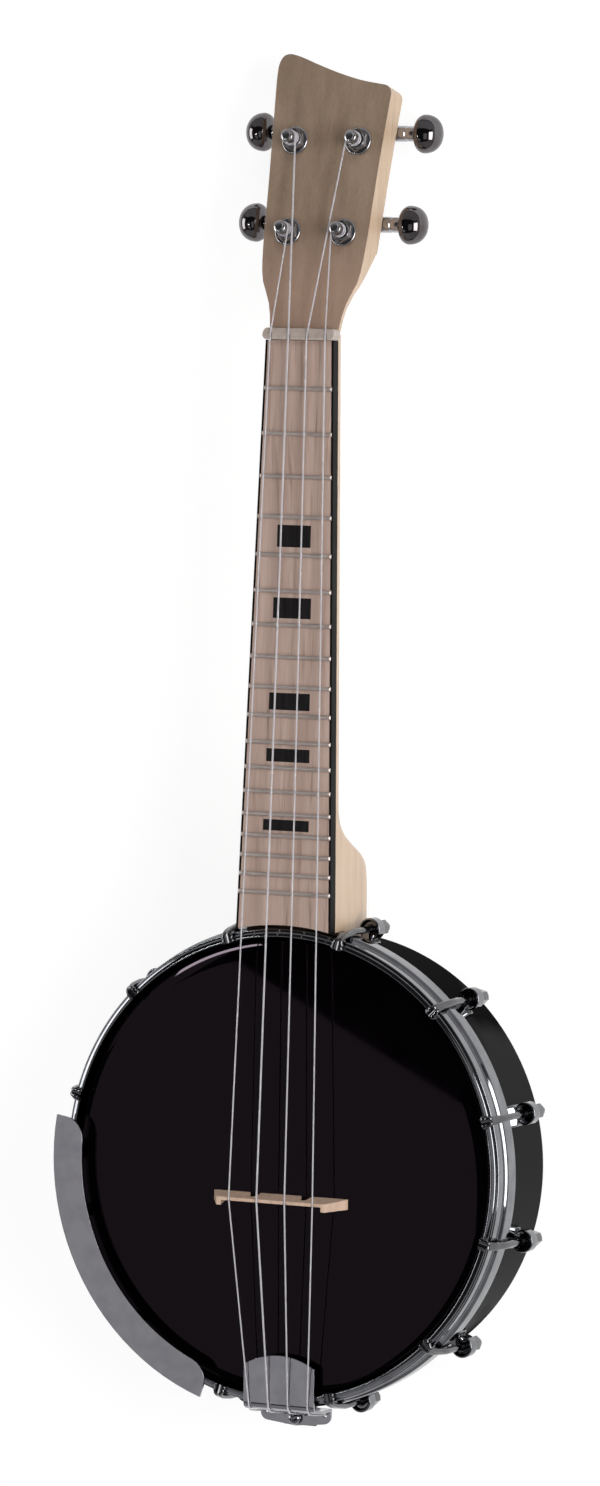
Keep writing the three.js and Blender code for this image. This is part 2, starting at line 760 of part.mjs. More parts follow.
// Binding: one strip round both sides and the pot end of the fingerboard
function makeBinding() {
  const inner = bond;
  const outer = bond + bindingThickness;
  const end = boardLength;
  const strip = (gap, low, high) => [
    [-boardHalf(-low) - gap, low], [boardHalf(-low) + gap, low],
    [boardHalf(-high) + gap, high], [-boardHalf(-high) - gap, high],
  ];
  const whole = solid(slab(strip(outer, -end - outer, 0), -boardThickness, 0));
  const hollow = solid(slab(strip(inner, -end - inner, overrun), -boardThickness - overrun, overrun));
  place('binding', whole.subtract(hollow), blackPlastic, neckFrame);
}

// Nut: crested bar with round ends and a slot for each string
function makeNut() {
  const crest = nutLength * nutCrestShare;
  const side = [
    [bond, neckTop + bond], [nutLength - bond, neckTop + bond], [nutLength - bond, nutBackTop],
    [crest, nutTop], [bond, nutTop - bond],
  ];
  const round = nutEndRound;
  const plan = [
    ...arc(nutHalf - round, round, round, -Math.PI / 2, 0, cornerSteps),
    ...arc(nutHalf - round, nutLength - round, round, 0, Math.PI / 2, cornerSteps),
    ...arc(round - nutHalf, nutLength - round, round, Math.PI / 2, Math.PI, cornerSteps),
    ...arc(round - nutHalf, round, round, Math.PI, Math.PI * 1.5, cornerSteps),
  ];
  let nut = solid(sideSlab(side, -nutHalf, nutHalf))
    .intersect(solid(slab(plan, neckTop - overrun, nutTop + overrun)));
  stringPlaces.forEach((share, i) => {
    const half = stringDiameters[i] / 2 + fit;
    const slot = slab([
      [share * nutSpacing - half, -overrun], [share * nutSpacing + half, -overrun],
      [share * nutSpacing + half, nutLength + overrun], [share * nutSpacing - half, nutLength + overrun],
    ], nutTop - nutSlotDepth, nutTop + overrun);
    nut = nut.subtract(solid(slot));
  });
  place('nut', nut, boneWhite, neckFrame);
}

// Tuning machines
function makeBushing() {
  const face = bond;
  const washer = turned([
    [0, -bushingSleeveLength], [bushingSleeve, -bushingSleeveLength], [bushingSleeve, face],
    [washerRadius, face], [washerRadius, face + washerThickness / 2],
    [washerRadius - washerThickness / 2, face + washerThickness], [0, face + washerThickness],
  ], turnSteps);
  const hex = rod(bushingHexRadius, face + washerThickness / 2,
    face + washerThickness + bushingHexHeight, boltSides);
  const bore = rod(bushingBore, -bushingSleeveLength - overrun,
    face + washerThickness + bushingHexHeight + overrun, turnSteps);
  return solid(washer).add(solid(hex)).subtract(solid(bore));
}

const gearLevel = -(headThickness + gearDepth);

function makePost() {
  const gearLow = gearLevel - gearThickness / 2;
  const gearHigh = gearLevel + gearThickness / 2;
  const post = turned([
    [0, gearLow - pivotLength], [pivotRadius, gearLow - pivotLength], [pivotRadius, gearLow],
    [gearRadius, gearLow], [gearRadius, gearHigh], [postRadius, gearHigh],
    [postRadius, postWaistStart - postChamfer], [postWaistRadius, postWaistStart],
    [postWaistRadius, postWaistEnd - postChamfer], [postRadius, postWaistEnd],
    [postRadius, postHeight - postChamfer], [postRadius - postChamfer, postHeight],
    [0, postHeight],
  ], turnSteps);
  return solid(post);
}

function makeHousing() {
  const top = -(headThickness + fit);
  const low = top - housingDepth;
  const c = housingCorner;
  const outline = [
    ...arc(housingOuter - c, c - housingFront, c, -Math.PI / 2, 0, housingCornerSteps),
    ...arc(housingOuter - c, housingBack - c, c, 0, Math.PI / 2, housingCornerSteps),
    ...arc(c - housingInner, housingBack - c, c, Math.PI / 2, Math.PI, housingCornerSteps),
    ...arc(c - housingInner, c - housingFront, c, Math.PI, Math.PI * 1.5, housingCornerSteps),
  ];
  const ear = [
    ...arc(0, earRadius - earReach, earRadius, Math.PI, 2 * Math.PI, earSteps),
    [earRadius, 0], [-earRadius, 0],
  ];
  const collarStart = housingOuter - collarRootInset;
  const collar = turned([
    [0, collarStart], [collarRootRadius, collarStart], [collarEndRadius, collarEnd],
    [0, collarEnd],
  ], turnSteps).rotateY(Math.PI / 2).translate(0, gearOffset, gearLevel);
  const gearPocket = rod(gearRadius + running, gearLevel - gearThickness / 2 - running,
    top + overrun, turnSteps);
  const pivotPocket = rod(pivotRadius + running,
    gearLevel - gearThickness / 2 - pivotLength - running, gearLevel, turnSteps);
  const wormPocket = rodAlongX(wormRadius + running, -wormHalfLength - running,
    wormHalfLength + running, turnSteps).translate(0, gearOffset, gearLevel);
  const shaftBore = rodAlongX(shaftRadius + running, 0, collarEnd + overrun, turnSteps)
    .translate(0, gearOffset, gearLevel);
  const earDrill = rod(earHole, top - earThickness - overrun, top + overrun, earSteps)
    .translate(0, earRadius - earReach, 0);
  return solid(slab(outline, low, top))
    .add(solid(slab(ear, top - earThickness, top)))
    .add(solid(collar))
    .subtract(solid(gearPocket)).subtract(solid(pivotPocket))
    .subtract(solid(wormPocket)).subtract(solid(shaftBore)).subtract(solid(earDrill));
}

function makeButton() {
  const start = collarEnd + running;
  const knob = turned([
    [0, start],
    ...buttonProfileShares.map(([r, l]) => [r * buttonRadius, start + l * buttonLength]),
  ], buttonSteps).scale(buttonFlatShare, 1, 1).rotateY(Math.PI / 2);
  const shaft = turned([
    [0, -wormHalfLength], [wormRadius, -wormHalfLength], [wormRadius, wormHalfLength],
    [shaftRadius, wormHalfLength], [shaftRadius, start + buttonLength / 2],
    [0, start + buttonLength / 2],
  ], turnSteps).rotateY(Math.PI / 2);
  return solid(knob).add(solid(shaft)).translate([0, gearOffset, gearLevel]);
}

// Posts in string order, from the left of the nut to the right
const tuners = [
  { side: -1, across: lowerPostAcross, along: lowerPostAlong },
  { side: -1, across: upperPostAcross, along: upperPostAlong },
  { side: 1, across: upperPostAcross, along: upperPostAlong },
  { side: 1, across: lowerPostAcross, along: lowerPostAlong },
];

function makeTuners() {
  const shapes = {
    tuner_bushing: makeBushing(), tuner_post: makePost(),
    tuner_housing: makeHousing(), tuner_button: makeButton(),
  };
  tuners.forEach(({ side, across, along }, i) => {
    for (const [name, shape] of Object.entries(shapes)) {
      const geometry = geometryOf(shape).scale(side, 1, 1).translate(side * across, along, 0);
      place(`${name}_${i + 1}`, geometry, chrome, headFrame);
    }
  });
}

// Bridge: three feet and two arches under a thin saddle edge, with deeper ends
const bridgeLine = nutFromPot - scaleLength - bridgeFromScale;
const bridgeTop = skinTop + fit + bridgeHeight;

function makeBridge() {
  const low = skinTop + fit;
  const back = bridgeLine - bridgeTopThickness / 2;
  const front = [
    [-bridgeFootHalf, low], [bridgeFootHalf, low], [bridgeFootHalf, low + bridgeEndRise],
    [bridgeTopHalf, bridgeTop], [-bridgeTopHalf, bridgeTop],
    [-bridgeFootHalf, low + bridgeEndRise],
  ];
  const side = [
    [back, low], [back + bridgeFootThickness, low], [back + bridgeTopThickness, bridgeTop],
    [back, bridgeTop],
  ];
  const endSide = [
    [back + bridgeFootThickness - bridgeEndDepth, low], [back + bridgeTopThickness, low],
    [back + bridgeTopThickness, bridgeTop],
    [back + bridgeTopThickness - bridgeEndTopDepth, bridgeTop],
  ];
  const outline = solid(frontSlab(front, back - bridgeEndDepth, back + bridgeFootThickness));
  let bridge = outline.intersect(solid(sideSlab(side, -bridgeFootHalf, bridgeFootHalf)));
  for (const end of [-1, 1]) {
    const block = [
      [end * bridgeEndInner, low], [end * (bridgeFootHalf + overrun), low],
      [end * (bridgeFootHalf + overrun), bridgeTop], [end * bridgeEndTopInner, bridgeTop],
    ];
    const piece = solid(frontSlab(block, back - bridgeEndDepth, back + bridgeTopThickness))
      .intersect(solid(sideSlab(endSide, -bridgeFootHalf, bridgeFootHalf)))
      .intersect(outline);
    bridge = bridge.add(piece);
    const arch = [
      [end * bridgeArchAcross - bridgeArchHalf, low - overrun],
      [end * bridgeArchAcross + bridgeArchHalf, low - overrun],
      ...arc(end * bridgeArchAcross, low + bridgeArchHeight - bridgeArchHalf, bridgeArchHalf,
        0, Math.PI, bridgeArchSteps),
    ];
    bridge = bridge.subtract(solid(frontSlab(arch, back - bridgeEndDepth, back + bridgeEndDepth)));
  }
  stringPlaces.forEach((share, i) => {
    const half = stringDiameters[i] / 2 + fit;
    const notch = frontSlab([
      [share * bridgeSpacing - half, bridgeTop - bridgeNotchDepth],
      [share * bridgeSpacing + half, bridgeTop - bridgeNotchDepth],
      [share * bridgeSpacing + half, bridgeTop + overrun],
      [share * bridgeSpacing - half, bridgeTop + overrun],
    ], back - bridgeEndDepth, back + bridgeEndDepth);
    bridge = bridge.subtract(solid(notch));
  });
  place('bridge', bridge, maple, potFrame);
}

// Tailpiece: one bent plate, arched over the head, folded down behind the hoop and out again
const tailUnder = hoopTop + running;
const tailTop = tailUnder + tailPlateThickness;
const tailWallInner = -(hoopOuter + 2 * fit);
const tailWallOuter = tailWallInner - tailPlateThickness;
const flangeTop = tailTop - tailWallDrop;
const hangerLine = tailWallOuter - hangerFromWall;
const stringHoleLine = tailWallOuter - stringHoleBack;
const tailBend = tailBendShares.map(([out, down]) => [
  tailWallOuter + tailBendReach * (1 - out), tailTop - tailBendDrop * down,
]);

function makeTailpiece() {
  const shoulders = tailWallInner + tailPlateLength;
  const archRadius = (tailHalf ** 2 + tailArchRise ** 2) / (2 * tailArchRise);
  const spread = Math.asin(tailHalf / archRadius);
  const topPlan = [
    [-tailHalf, tailBend[0][0]], [tailHalf, tailBend[0][0]],
    ...arc(0, shoulders + tailArchRise - archRadius, archRadius,
      Math.PI / 2 - spread, Math.PI / 2 + spread, archSteps),
  ];
  const half = tailHalf;
  const r = tailFlangeRound;
  const flangeEnd = tailWallOuter - tailFlangeReach;
  const flangePlan = [
    [half, tailWallOuter + tailPlateThickness],
    [-half, tailWallOuter + tailPlateThickness],
    ...arc(r - half, flangeEnd + r, r, Math.PI, Math.PI * 1.5, cornerSteps),
    [0, flangeEnd - tailFlangeCrown],
    ...arc(half - r, flangeEnd + r, r, Math.PI * 1.5, Math.PI * 2, cornerSteps),
  ];
  const foldStart = tailBend[0][0];
  const fold = bentStrip([
    [shoulders + tailArchRise + overrun, tailTop], ...tailBend,
    [tailWallOuter, flangeTop - tailPlateThickness],
  ], tailPlateThickness);
  const topClip = slab(topPlan, tailUnder - overrun, tailTop + overrun);
  const wallClip = slab([
    [-half, tailWallOuter - overrun], [half, tailWallOuter - overrun], [half, foldStart],
    [-half, foldStart],
  ], flangeTop - overrun, tailTop + overrun);
  let plate = solid(sideSlab(fold, -half, half)).intersect(solid(topClip).add(solid(wallClip)));
  plate = plate.add(solid(slab(flangePlan, flangeTop - tailPlateThickness, flangeTop)));
  const holeLow = flangeTop - tailPlateThickness - overrun;
  const through = (x, y, radius) => solid(rod(radius, holeLow, flangeTop + overrun, holeSides)
    .translate(x, y, 0));
  for (const share of stringPlaces) {
    plate = plate.subtract(through(share * tailSpacing, stringHoleLine, stringHoleRadius));
  }
  plate = plate.subtract(through(0, hangerLine, hangerRadius + running));
  place('tailpiece', plate.translate([tailShift, 0, 0]), chrome, potFrame);
}

// Bracket on the rim and the bolt that draws the tailpiece down to it
function makeTailBracket() {
  const inner = -(rimOuter + fit);
  const outer = inner - bracketThickness;
  const armTop = flangeTop - tailPlateThickness - bracketDrop;
  const reach = hangerLine - bracketOverhang;
  const side = [
    [inner, armTop], [reach, armTop], [reach, armTop - bracketThickness],
    [outer, armTop - bracketThickness], [outer, armTop - bracketFootDrop],
    [inner, armTop - bracketFootDrop],
  ];
  const half = (bracketWidth + tailShift) / 2;
  const middle = tailShift / 2;
  const holeLow = armTop - bracketThickness - overrun;
  const hangerHole = rod(hangerRadius + running, holeLow, armTop + overrun, holeSides)
    .translate(tailShift, hangerLine, 0);
  const boltHole = rodAlongY(tailBoltRadius + fit, outer - overrun, inner + overrun, turnSteps)
    .translate(0, 0, rodFromRear);
  const bracket = solid(sideSlab(side, middle - half, middle + half))
    .subtract(solid(hangerHole)).subtract(solid(boltHole));
  place('tail_bracket', bracket, chrome, potFrame);

  const headLow = flangeTop + fit;
  const nutTopLevel = armTop - bracketThickness - fit;
  const bolt = turned([
    [0, nutTopLevel - hangerNutHeight - fit], [hangerRadius, nutTopLevel - hangerNutHeight - fit],
    [hangerRadius, headLow], [hangerHeadRadius, headLow],
    ...dome(hangerHeadRadius, headLow + hangerHeadHeight / 2, hangerHeadHeight / 2),
  ], turnSteps);
  const nut = rod(hangerNutRadius, nutTopLevel - hangerNutHeight, nutTopLevel, boltSides);
  const hanger = solid(bolt).add(solid(nut)).translate([tailShift, hangerLine, 0]);
  place('hanger_bolt', hanger, chrome, potFrame);

  const boltFace = outer - fit;
  const boltLength = rodTapDepth + rimWall;
  const domed = turned([
    [0, 0], [tailBoltRadius, 0], [tailBoltRadius, boltLength], [tailBoltHeadRadius, boltLength],
    ...dome(tailBoltHeadRadius, boltLength + tailBoltHeadHeight / 2, tailBoltHeadHeight / 2),
  ], turnSteps).rotateX(Math.PI / 2)
    .translate(0, boltFace + boltLength, rodFromRear);
  place('tail_bolt', domed, chrome, potFrame);
}

// Coordinator rod: from the tail bolt through the pot into the heel, with its nut
function rodEnd() {
  return rimInner - rodNutHeight - rodNutStandoff + rodThreadLength;
}

function makeRod() {
  const low = fit - rimInner;
  const shoulder = rimInner - rodNutHeight - rodNutStandoff;
  const body = turned([
    [0, low], [rodRadius, low], [rodRadius, shoulder], [rodThreadRadius, shoulder],
    [rodThreadRadius, rodEnd()], [0, rodEnd()],
  ], turnSteps).rotateX(-Math.PI / 2).translate(0, 0, rodFromRear);
  const tap = rodAlongY(tailBoltRadius + fit, low - overrun, low + rodTapDepth, turnSteps)
    .translate(0, 0, rodFromRear);
  place('coordinator_rod', solid(body).subtract(solid(tap)), chrome, potFrame);
  const nutHigh = rimInner - fit - bond;
  const nut = solid(rodAlongY(rodNutRadius, nutHigh - rodNutHeight, nutHigh, boltSides))
    .subtract(solid(rodAlongY(rodThreadRadius + fit, 0, rimOuter, turnSteps)));
  place('rod_nut', nut.translate([0, 0, rodFromRear]), chrome, potFrame);
}

// Armrest: a curved plate over the hoop with a rolled outer edge and two legs to the rim
function makeArmrest() {
  const under = hookArmTop + armAboveHooks;
  const top = under + armThickness;
  const bearing = (radius, angle) => [radius * Math.sin(angle), radius * Math.cos(angle)];
  const corner = armCorner / armInner;
  const sweep = (radius, from, to, steps) => Array.from({ length: steps + 1 },
    (_, i) => bearing(radius, from + (to - from) * i / steps));
  const round = (angle, inward) => Array.from({ length: armCornerSteps + 1 }, (_, i) => {
    const turn = Math.PI / 2 * i / armCornerSteps;
    return bearing(armInner + armCorner * (1 - Math.sin(turn)),
      angle + inward * corner * (1 - Math.cos(turn)));
  });
  const outline = [
    ...sweep(armOuter, armStart, armEnd, armSteps),
    ...round(armEnd, 1),
    ...sweep(armInner, armEnd + corner, armStart - corner, armSteps).slice(1, -1),
    ...round(armStart, -1).reverse(),
  ];
  const lip = [
    ...sweep(armOuter, armStart, armEnd, armSteps),
    ...sweep(armOuter - armLipWidth, armEnd, armStart, armSteps),
  ];
  let rest = solid(slab(outline, under, top)).add(solid(slab(lip, under - armLipDrop, top)));
  const legOuter = hoopOuter + armLegStandoff + armLegThickness;
  const legInner = hoopOuter + armLegStandoff;
  const footInner = rimOuter + fit;
  const footOuter = footInner + armLegThickness;
  const leg = [
    [legOuter, under + fit], [legInner, under + fit], [legInner, hoopTop - armLegBendDrop],
    [footInner, hoopTop - armLegFootTop], [footInner, hoopTop - armLegFootEnd],
    [footOuter, hoopTop - armLegFootEnd], [footOuter, hoopTop - armLegFootTop - armLegThickness / 2],
    [legOuter, hoopTop - armLegBendDrop - armLegThickness / 2],
  ];
  for (const angle of armLegAngles) {
    const strip = frontSlab(leg, -armLegWidth / 2, armLegWidth / 2).rotateZ(Math.PI / 2 - angle);
    rest = rest.add(solid(strip));
  }
  place('armrest', rest, chrome, potFrame);
}

// Strings: from a knot under the tailpiece, over the bridge and the nut, and round the post
function stringRoute(i) {
  const radius = stringDiameters[i] / 2;
  const share = stringPlaces[i];
  const lift = radius + fit;
  const toPot = (x, y, z) => new THREE.Vector3(x, y, z).applyMatrix4(potFrame);
  const tailX = tailShift + share * tailSpacing;
  const bend = offsetLine(tailBend, tailBend.map(() => -lift)).reverse();
  const knotLevel = flangeTop - tailPlateThickness - fit - radius * knotSwell;
  const points = [
    toPot(tailX, stringHoleLine, knotLevel - radius * knotSwell),
    toPot(tailX, stringHoleLine, knotLevel - radius),
    toPot(tailX, stringHoleLine, knotLevel + radius),
    toPot(tailX, stringHoleLine, knotLevel + radius * knotSwell),
    toPot(tailX, stringHoleLine, flangeTop),
    ...bend.map(([y, z]) => toPot(tailX, y, z)),
    toPot(share * bridgeSpacing, bridgeLine, bridgeTop - bridgeNotchDepth + lift),
  ];
  const nutPoint = (y) => new THREE.Vector3(share * nutSpacing, y, nutTop - nutSlotDepth + lift)
    .applyMatrix4(neckFrame);
  const crest = nutLength * nutCrestShare;
  points.push(nutPoint(crest - bond), nutPoint(crest + bond));
  const toHead = headFrame.clone().invert();
  const leave = points[points.length - 1].clone().applyMatrix4(toHead);
  const { side, across, along } = tuners[i];
  const centre = new THREE.Vector2(side * across, along);
  const turnRadius = postWaistRadius + lift;
  const line = centre.clone().sub(new THREE.Vector2(leave.x, leave.y));
  const reach = line.length();
  const forward = line.clone().divideScalar(reach);
  const inward = new THREE.Vector2(-forward.y, forward.x).multiplyScalar(side);
  const sine = turnRadius / reach;
  const touch = forward.clone().multiplyScalar(-sine)
    .addScaledVector(inward, Math.sqrt(1 - sine ** 2));
  const startAngle = Math.atan2(touch.y, touch.x);
  const direction = -side;
  const steps = Math.round(windingTurns * loopSteps);
  const winding = Array.from({ length: steps + 1 }, (_, k) => {
    const turn = 2 * Math.PI * k / loopSteps;
    return new THREE.Vector3(
      centre.x + turnRadius * Math.cos(startAngle + direction * turn),
      centre.y + turnRadius * Math.sin(startAngle + direction * turn),
      windingStart - windingPitch * k / loopSteps,
    );
  });
  points.push(...winding.map((p) => p.applyMatrix4(headFrame)));
  return { points, winding, radius };
}

function leastGap(points, diameter) {
  let least = Infinity;
  points.forEach((a, i) => points.slice(i + loopSteps / 2).forEach((b) => {
    least = Math.min(least, a.distanceTo(b) - diameter);
  }));
  return least;
}

function makeStrings() {
  stringPlaces.forEach((_, i) => {
    const { points, winding, radius } = stringRoute(i);
    const radii = points.map(() => radius);
    radii[0] = radius / 2;
    radii[1] = radius * knotSwell;
    radii[2] = radius * knotSwell;
    place(`string_${i + 1}`, swept(points, radii, stringSides), nylon);
    const gap = leastGap(winding, radius * 2).toFixed(2);
    console.log(`string_${i + 1} winding: least gap to itself ${gap} mm`);
  });
}

makeRim();
makeHead();
makeHoop();
makeTensioners();
makeNeck();
makeFingerboard();
makeBinding();
makeNut();
makeTuners();
makeBridge();
makeTailpiece();
makeTailBracket();
makeRod();
makeArmrest();
makeStrings();

export default part;
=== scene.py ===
"""Banjo ukulele: its looks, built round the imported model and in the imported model's frame.

Shapes are worked out in millimetres in the frame of the sub-assembly they belong to, and
are turned into metres in the part's own frame when they become pieces.
"""
import logging
import math
from collections.abc import Iterator, Sequence
from contextlib import contextmanager
from dataclasses import dataclass, field
from enum import Enum
from typing import NamedTuple

import bmesh
import bpy
from mathutils import Matrix, Vector


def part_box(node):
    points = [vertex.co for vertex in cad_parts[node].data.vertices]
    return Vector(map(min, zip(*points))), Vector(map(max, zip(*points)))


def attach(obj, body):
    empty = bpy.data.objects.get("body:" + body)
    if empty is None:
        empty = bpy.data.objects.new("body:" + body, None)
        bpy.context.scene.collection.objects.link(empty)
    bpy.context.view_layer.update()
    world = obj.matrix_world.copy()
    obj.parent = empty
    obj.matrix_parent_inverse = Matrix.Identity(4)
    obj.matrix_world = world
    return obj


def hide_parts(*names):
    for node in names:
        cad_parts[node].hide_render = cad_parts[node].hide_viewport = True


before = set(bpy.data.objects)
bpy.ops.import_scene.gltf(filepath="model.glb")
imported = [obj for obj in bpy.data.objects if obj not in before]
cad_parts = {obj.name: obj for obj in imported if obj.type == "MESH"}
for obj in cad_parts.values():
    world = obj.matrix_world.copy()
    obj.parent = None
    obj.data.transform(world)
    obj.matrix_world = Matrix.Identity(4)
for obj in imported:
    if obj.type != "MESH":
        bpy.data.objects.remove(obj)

LOG = logging.getLogger("banjo_ukulele")
MM = 0.001
FULL_TURN = 2 * math.pi
QUARTER_TURN = math.pi / 2
WELD = 0.002
FLAT_ANGLE = math.radians(0.4)
HEXAGON = 6
SEMITONES = 12

Mesh = bpy.types.Mesh
Object = bpy.types.Object
Node = bpy.types.Node
Socket = bpy.types.NodeSocket
Material = bpy.types.Material
Colour = tuple[float, float, float, float]
Point2 = tuple[float, float]
Point3 = tuple[float, float, float]

# Span that nearly all the values of a noise lie in.
NOISE_SPAN: Point2 = (0.3, 0.7)


class Slot(Enum):
    """The record's material slots."""

    PALE_WOOD = "pale_wood"
    BOARD_WOOD = "board_wood"
    LACQUER = "black_lacquer"
    PLASTIC = "black_plastic"
    BONE = "bone_plastic"
    SKIN = "black_skin"
    CHROME = "chrome"
    NYLON = "nylon"


class Side(Enum):
    """The two sides of the headstock, seen from the front."""

    LEFT = -1
    RIGHT = 1


def linear(value: int) -> float:
    """One channel of a colour, from 0 to 255 on a screen, as a linear value."""
    share = value / 255
    return share / 12.92 if share <= 0.04045 else ((share + 0.055) / 1.055) ** 2.4


def srgb(red: int, green: int, blue: int) -> Colour:
    """A colour given as it shows on a screen, as linear values."""
    return (linear(red), linear(green), linear(blue), 1.0)


def grey(level: float) -> Colour:
    """A grey of a linear level."""
    return (level, level, level, 1.0)


def shift(x: float = 0.0, y: float = 0.0, z: float = 0.0) -> Matrix:
    """A move along each axis."""
    return Matrix.Translation((x, y, z))


def spin(angle: float, axis: str) -> Matrix:
    """A turn by an angle in radians round an axis."""
    return Matrix.Rotation(angle, 4, axis)


# Layout


@dataclass(frozen=True)
class Layout:
    """Sizes that several sub-assemblies share, in millimetres, and the frames they sit in."""

    scale_length: float = 380.0
    pot_back: float = 188.8
    rim_outer: float = 101.5
    rim_wall: float = 9.5
    hoop_top: float = 62.4
    hoop_outer: float = 108.2
    fit: float = 0.3
    fret_count: int = 18
    last_fret_gap: float = 14.3
    board_drop: float = 4.7
    neck_tilt: float = 1.2
    nut_length: float = 5.6
    head_drop: float = 4.4
    head_tilt: float = 12.3
    head_thickness: float = 12.5
    hook_count: int = 12
    hook_circle: float = 109.9

    def fret_from_nut(self, number: float) -> float:
        """Distance of a fret from the nut."""
        return self.scale_length * (1 - 2 ** (-number / SEMITONES))

    @property
    def rim_inner(self) -> float:
        """Radius of the rim's inner wall."""
        return self.rim_outer - self.rim_wall

    @property
    def board_span(self) -> float:
        """Distance from the nut to the hoop, along the fingerboard."""
        return self.fret_from_nut(self.fret_count) + self.last_fret_gap

    @property
    def nut_from_pot(self) -> float:
        """Distance from the pot's centre to the nut."""
        tilt = math.radians(self.neck_tilt)
        return self.hoop_outer + self.fit + self.board_span * math.cos(tilt)

    @property
    def pot(self) -> Matrix:
        """Frame of the pot: its centre, on the rear face of the rim."""
        return shift(y=-self.pot_back)

    @property
    def neck(self) -> Matrix:
        """Frame of the neck: its origin is where the fingerboard's face meets the nut."""
        place = shift(y=self.nut_from_pot - self.pot_back, z=self.hoop_top - self.board_drop)
        return place @ spin(math.radians(-self.neck_tilt), "X")

    @property
    def headstock(self) -> Matrix:
        """Frame of the headstock: its face is at zero height."""
        step = shift(y=self.nut_length, z=-self.head_drop)
        return self.neck @ step @ spin(math.radians(-self.head_tilt), "X")


LAYOUT = Layout()
PART = Matrix.Identity(4)


# Shapes


@dataclass
class Shape:
    """Points in millimetres and the faces that join them."""

    points: list[Vector] = field(default_factory=list)
    faces: list[tuple[int, ...]] = field(default_factory=list)

    def plus(self, *others: "Shape") -> "Shape":
        """This shape and others as one, left unjoined where they meet.

        Args:
            others: Shapes in the same frame.

        Returns:
            A new shape with all the faces.
        """
        total = Shape(list(self.points), list(self.faces))
        for other in others:
            start = len(total.points)
            total.points.extend(other.points)
            total.faces.extend(tuple(start + i for i in face) for face in other.faces)
        return total

    def moved(self, matrix: Matrix) -> "Shape":
        """This shape carried by a matrix."""
        return Shape([matrix @ p for p in self.points], list(self.faces))

    def mesh(self, name: str) -> Mesh:
        """This shape as a mesh, still in millimetres.

        Args:
            name: Name of the mesh.

        Returns:
            The mesh.
        """
        data = bpy.data.meshes.new(name)
        data.from_pydata([tuple(p) for p in self.points], [], self.faces)
        data.update()
        return data

    @staticmethod
    def of_mesh(data: Mesh) -> "Shape":
        """The points and faces of a mesh."""
        points = [vert.co.copy() for vert in data.vertices]
        return Shape(points, [tuple(face.vertices) for face in data.polygons])


def loft(rings: Sequence[Sequence[Vector]]) -> Shape:
    """A skin over rings of points, capped at both ends.

    Args:
        rings: Rings with the same number of points each.

    Returns:
        The skin.
    """
    count = len(rings[0])
    points = [p.copy() for ring in rings for p in ring]
    faces: list[tuple[int, ...]] = []
    for here in range(0, len(points) - count, count):
        there = here + count
        for j in range(count):
            k = (j + 1) % count
            faces.append((here + j, here + k, there + k, there + j))
    faces.append(tuple(reversed(range(count))))
    faces.append(tuple(range(len(points) - count, len(points))))
    return Shape(points, faces)


def extruded(outline: Sequence[Point2], low: float, high: float) -> Shape:
    """A flat outline in X and Y raised from one level to another."""
    return loft([[Vector((x, y, level)) for x, y in outline] for level in (low, high)])


def rectangle(wide: float, deep: float, middle: float = 0.0) -> list[Point2]:
    """Corners of a rectangle: its half width, its half depth and its middle along Y."""
    low, high = middle - deep, middle + deep
    return [(-wide, low), (wide, low), (wide, high), (-wide, high)]


def filleted(corners: Sequence[Point3], steps: int = 5) -> list[Point2]:
    """A closed outline whose corners are rounded.

    Args:
        corners: X, Y and the rounding of each corner.
        steps: Segments in each rounding.

    Returns:
        The outline with its roundings, as points.
    """
    result: list[Point2] = []
    for i, (x, y, radius) in enumerate(corners):
        here = Vector((x, y))
        before = Vector(corners[i - 1][:2]) - here
        after = Vector(corners[(i + 1) % len(corners)][:2]) - here
        if radius <= 0:
            result.append((x, y))
            continue
        start = here + before.normalized() * min(radius, before.length / 2)
        end = here + after.normalized() * min(radius, after.length / 2)
        for k in range(steps + 1):
            t = k / steps
            p = start * (1 - t) ** 2 + here * (2 * t * (1 - t)) + end * t ** 2
            result.append((p.x, p.y))
    return result


def arc(centre: Point2, radius: float, start: float, end: float, steps: int) -> list[Point2]:
    """Points along a part of a circle.

    Args:
        centre: Middle of the circle.
        radius: Its radius.
        start: Angle in degrees of the first point.
        end: Angle in degrees of the last point.
        steps: Segments between them.

    Returns:
        The points.
    """
    angles = [math.radians(start + (end - start) * i / steps) for i in range(steps + 1)]
    return [(centre[0] + radius * math.cos(a), centre[1] + radius * math.sin(a)) for a in angles]


def blend(first: float, second: float, share: float) -> float:
    """A value between two values."""
    return first + (second - first) * share


def smooth_line(points: Sequence[Sequence[float]], steps: int) -> list[Vector]:
    """A curve through every point of a line.

    Args:
        points: Points of any one dimension.
        steps: Segments between each two points.

    Returns:
        Points along the curve.
    """
    knots = [Vector(p) for p in points]
    ends = [knots[0] * 2 - knots[1], *knots, knots[-1] * 2 - knots[-2]]
    line: list[Vector] = []
    for i in range(len(knots) - 1):
        a, b, c, d = ends[i:i + 4]
        for k in range(steps):
            t = k / steps
            line.append((b * 2 + (c - a) * t + (a * 2 - b * 5 + c * 4 - d) * t ** 2
                         + (b * 3 - a - c * 3 + d) * t ** 3) / 2)
    return [*line, knots[-1]]


def normal(line: Sequence[Vector], i: int) -> Vector:
    """Direction to the right of a flat line, at one of its points."""
    along = line[min(i + 1, len(line) - 1)] - line[max(i - 1, 0)]
    return Vector((along.y, -along.x)).normalized()


def oval(width: float, height: float, squareness: float, steps: int) -> list[Point2]:
    """A round section that grows squarer with a higher power.

    Args:
        width: Half width.
        height: Half height.
        squareness: 2 for an ellipse, more for squarer corners.
        steps: Points round the section.

    Returns:
        The section's points.
    """
    def bent(value: float) -> float:
        """A sine or cosine raised to the section's power."""
        return math.copysign(abs(value) ** (2 / squareness), value)

    angles = [FULL_TURN * i / steps for i in range(steps)]
    return [(width * bent(math.cos(a)), height * bent(math.sin(a))) for a in angles]


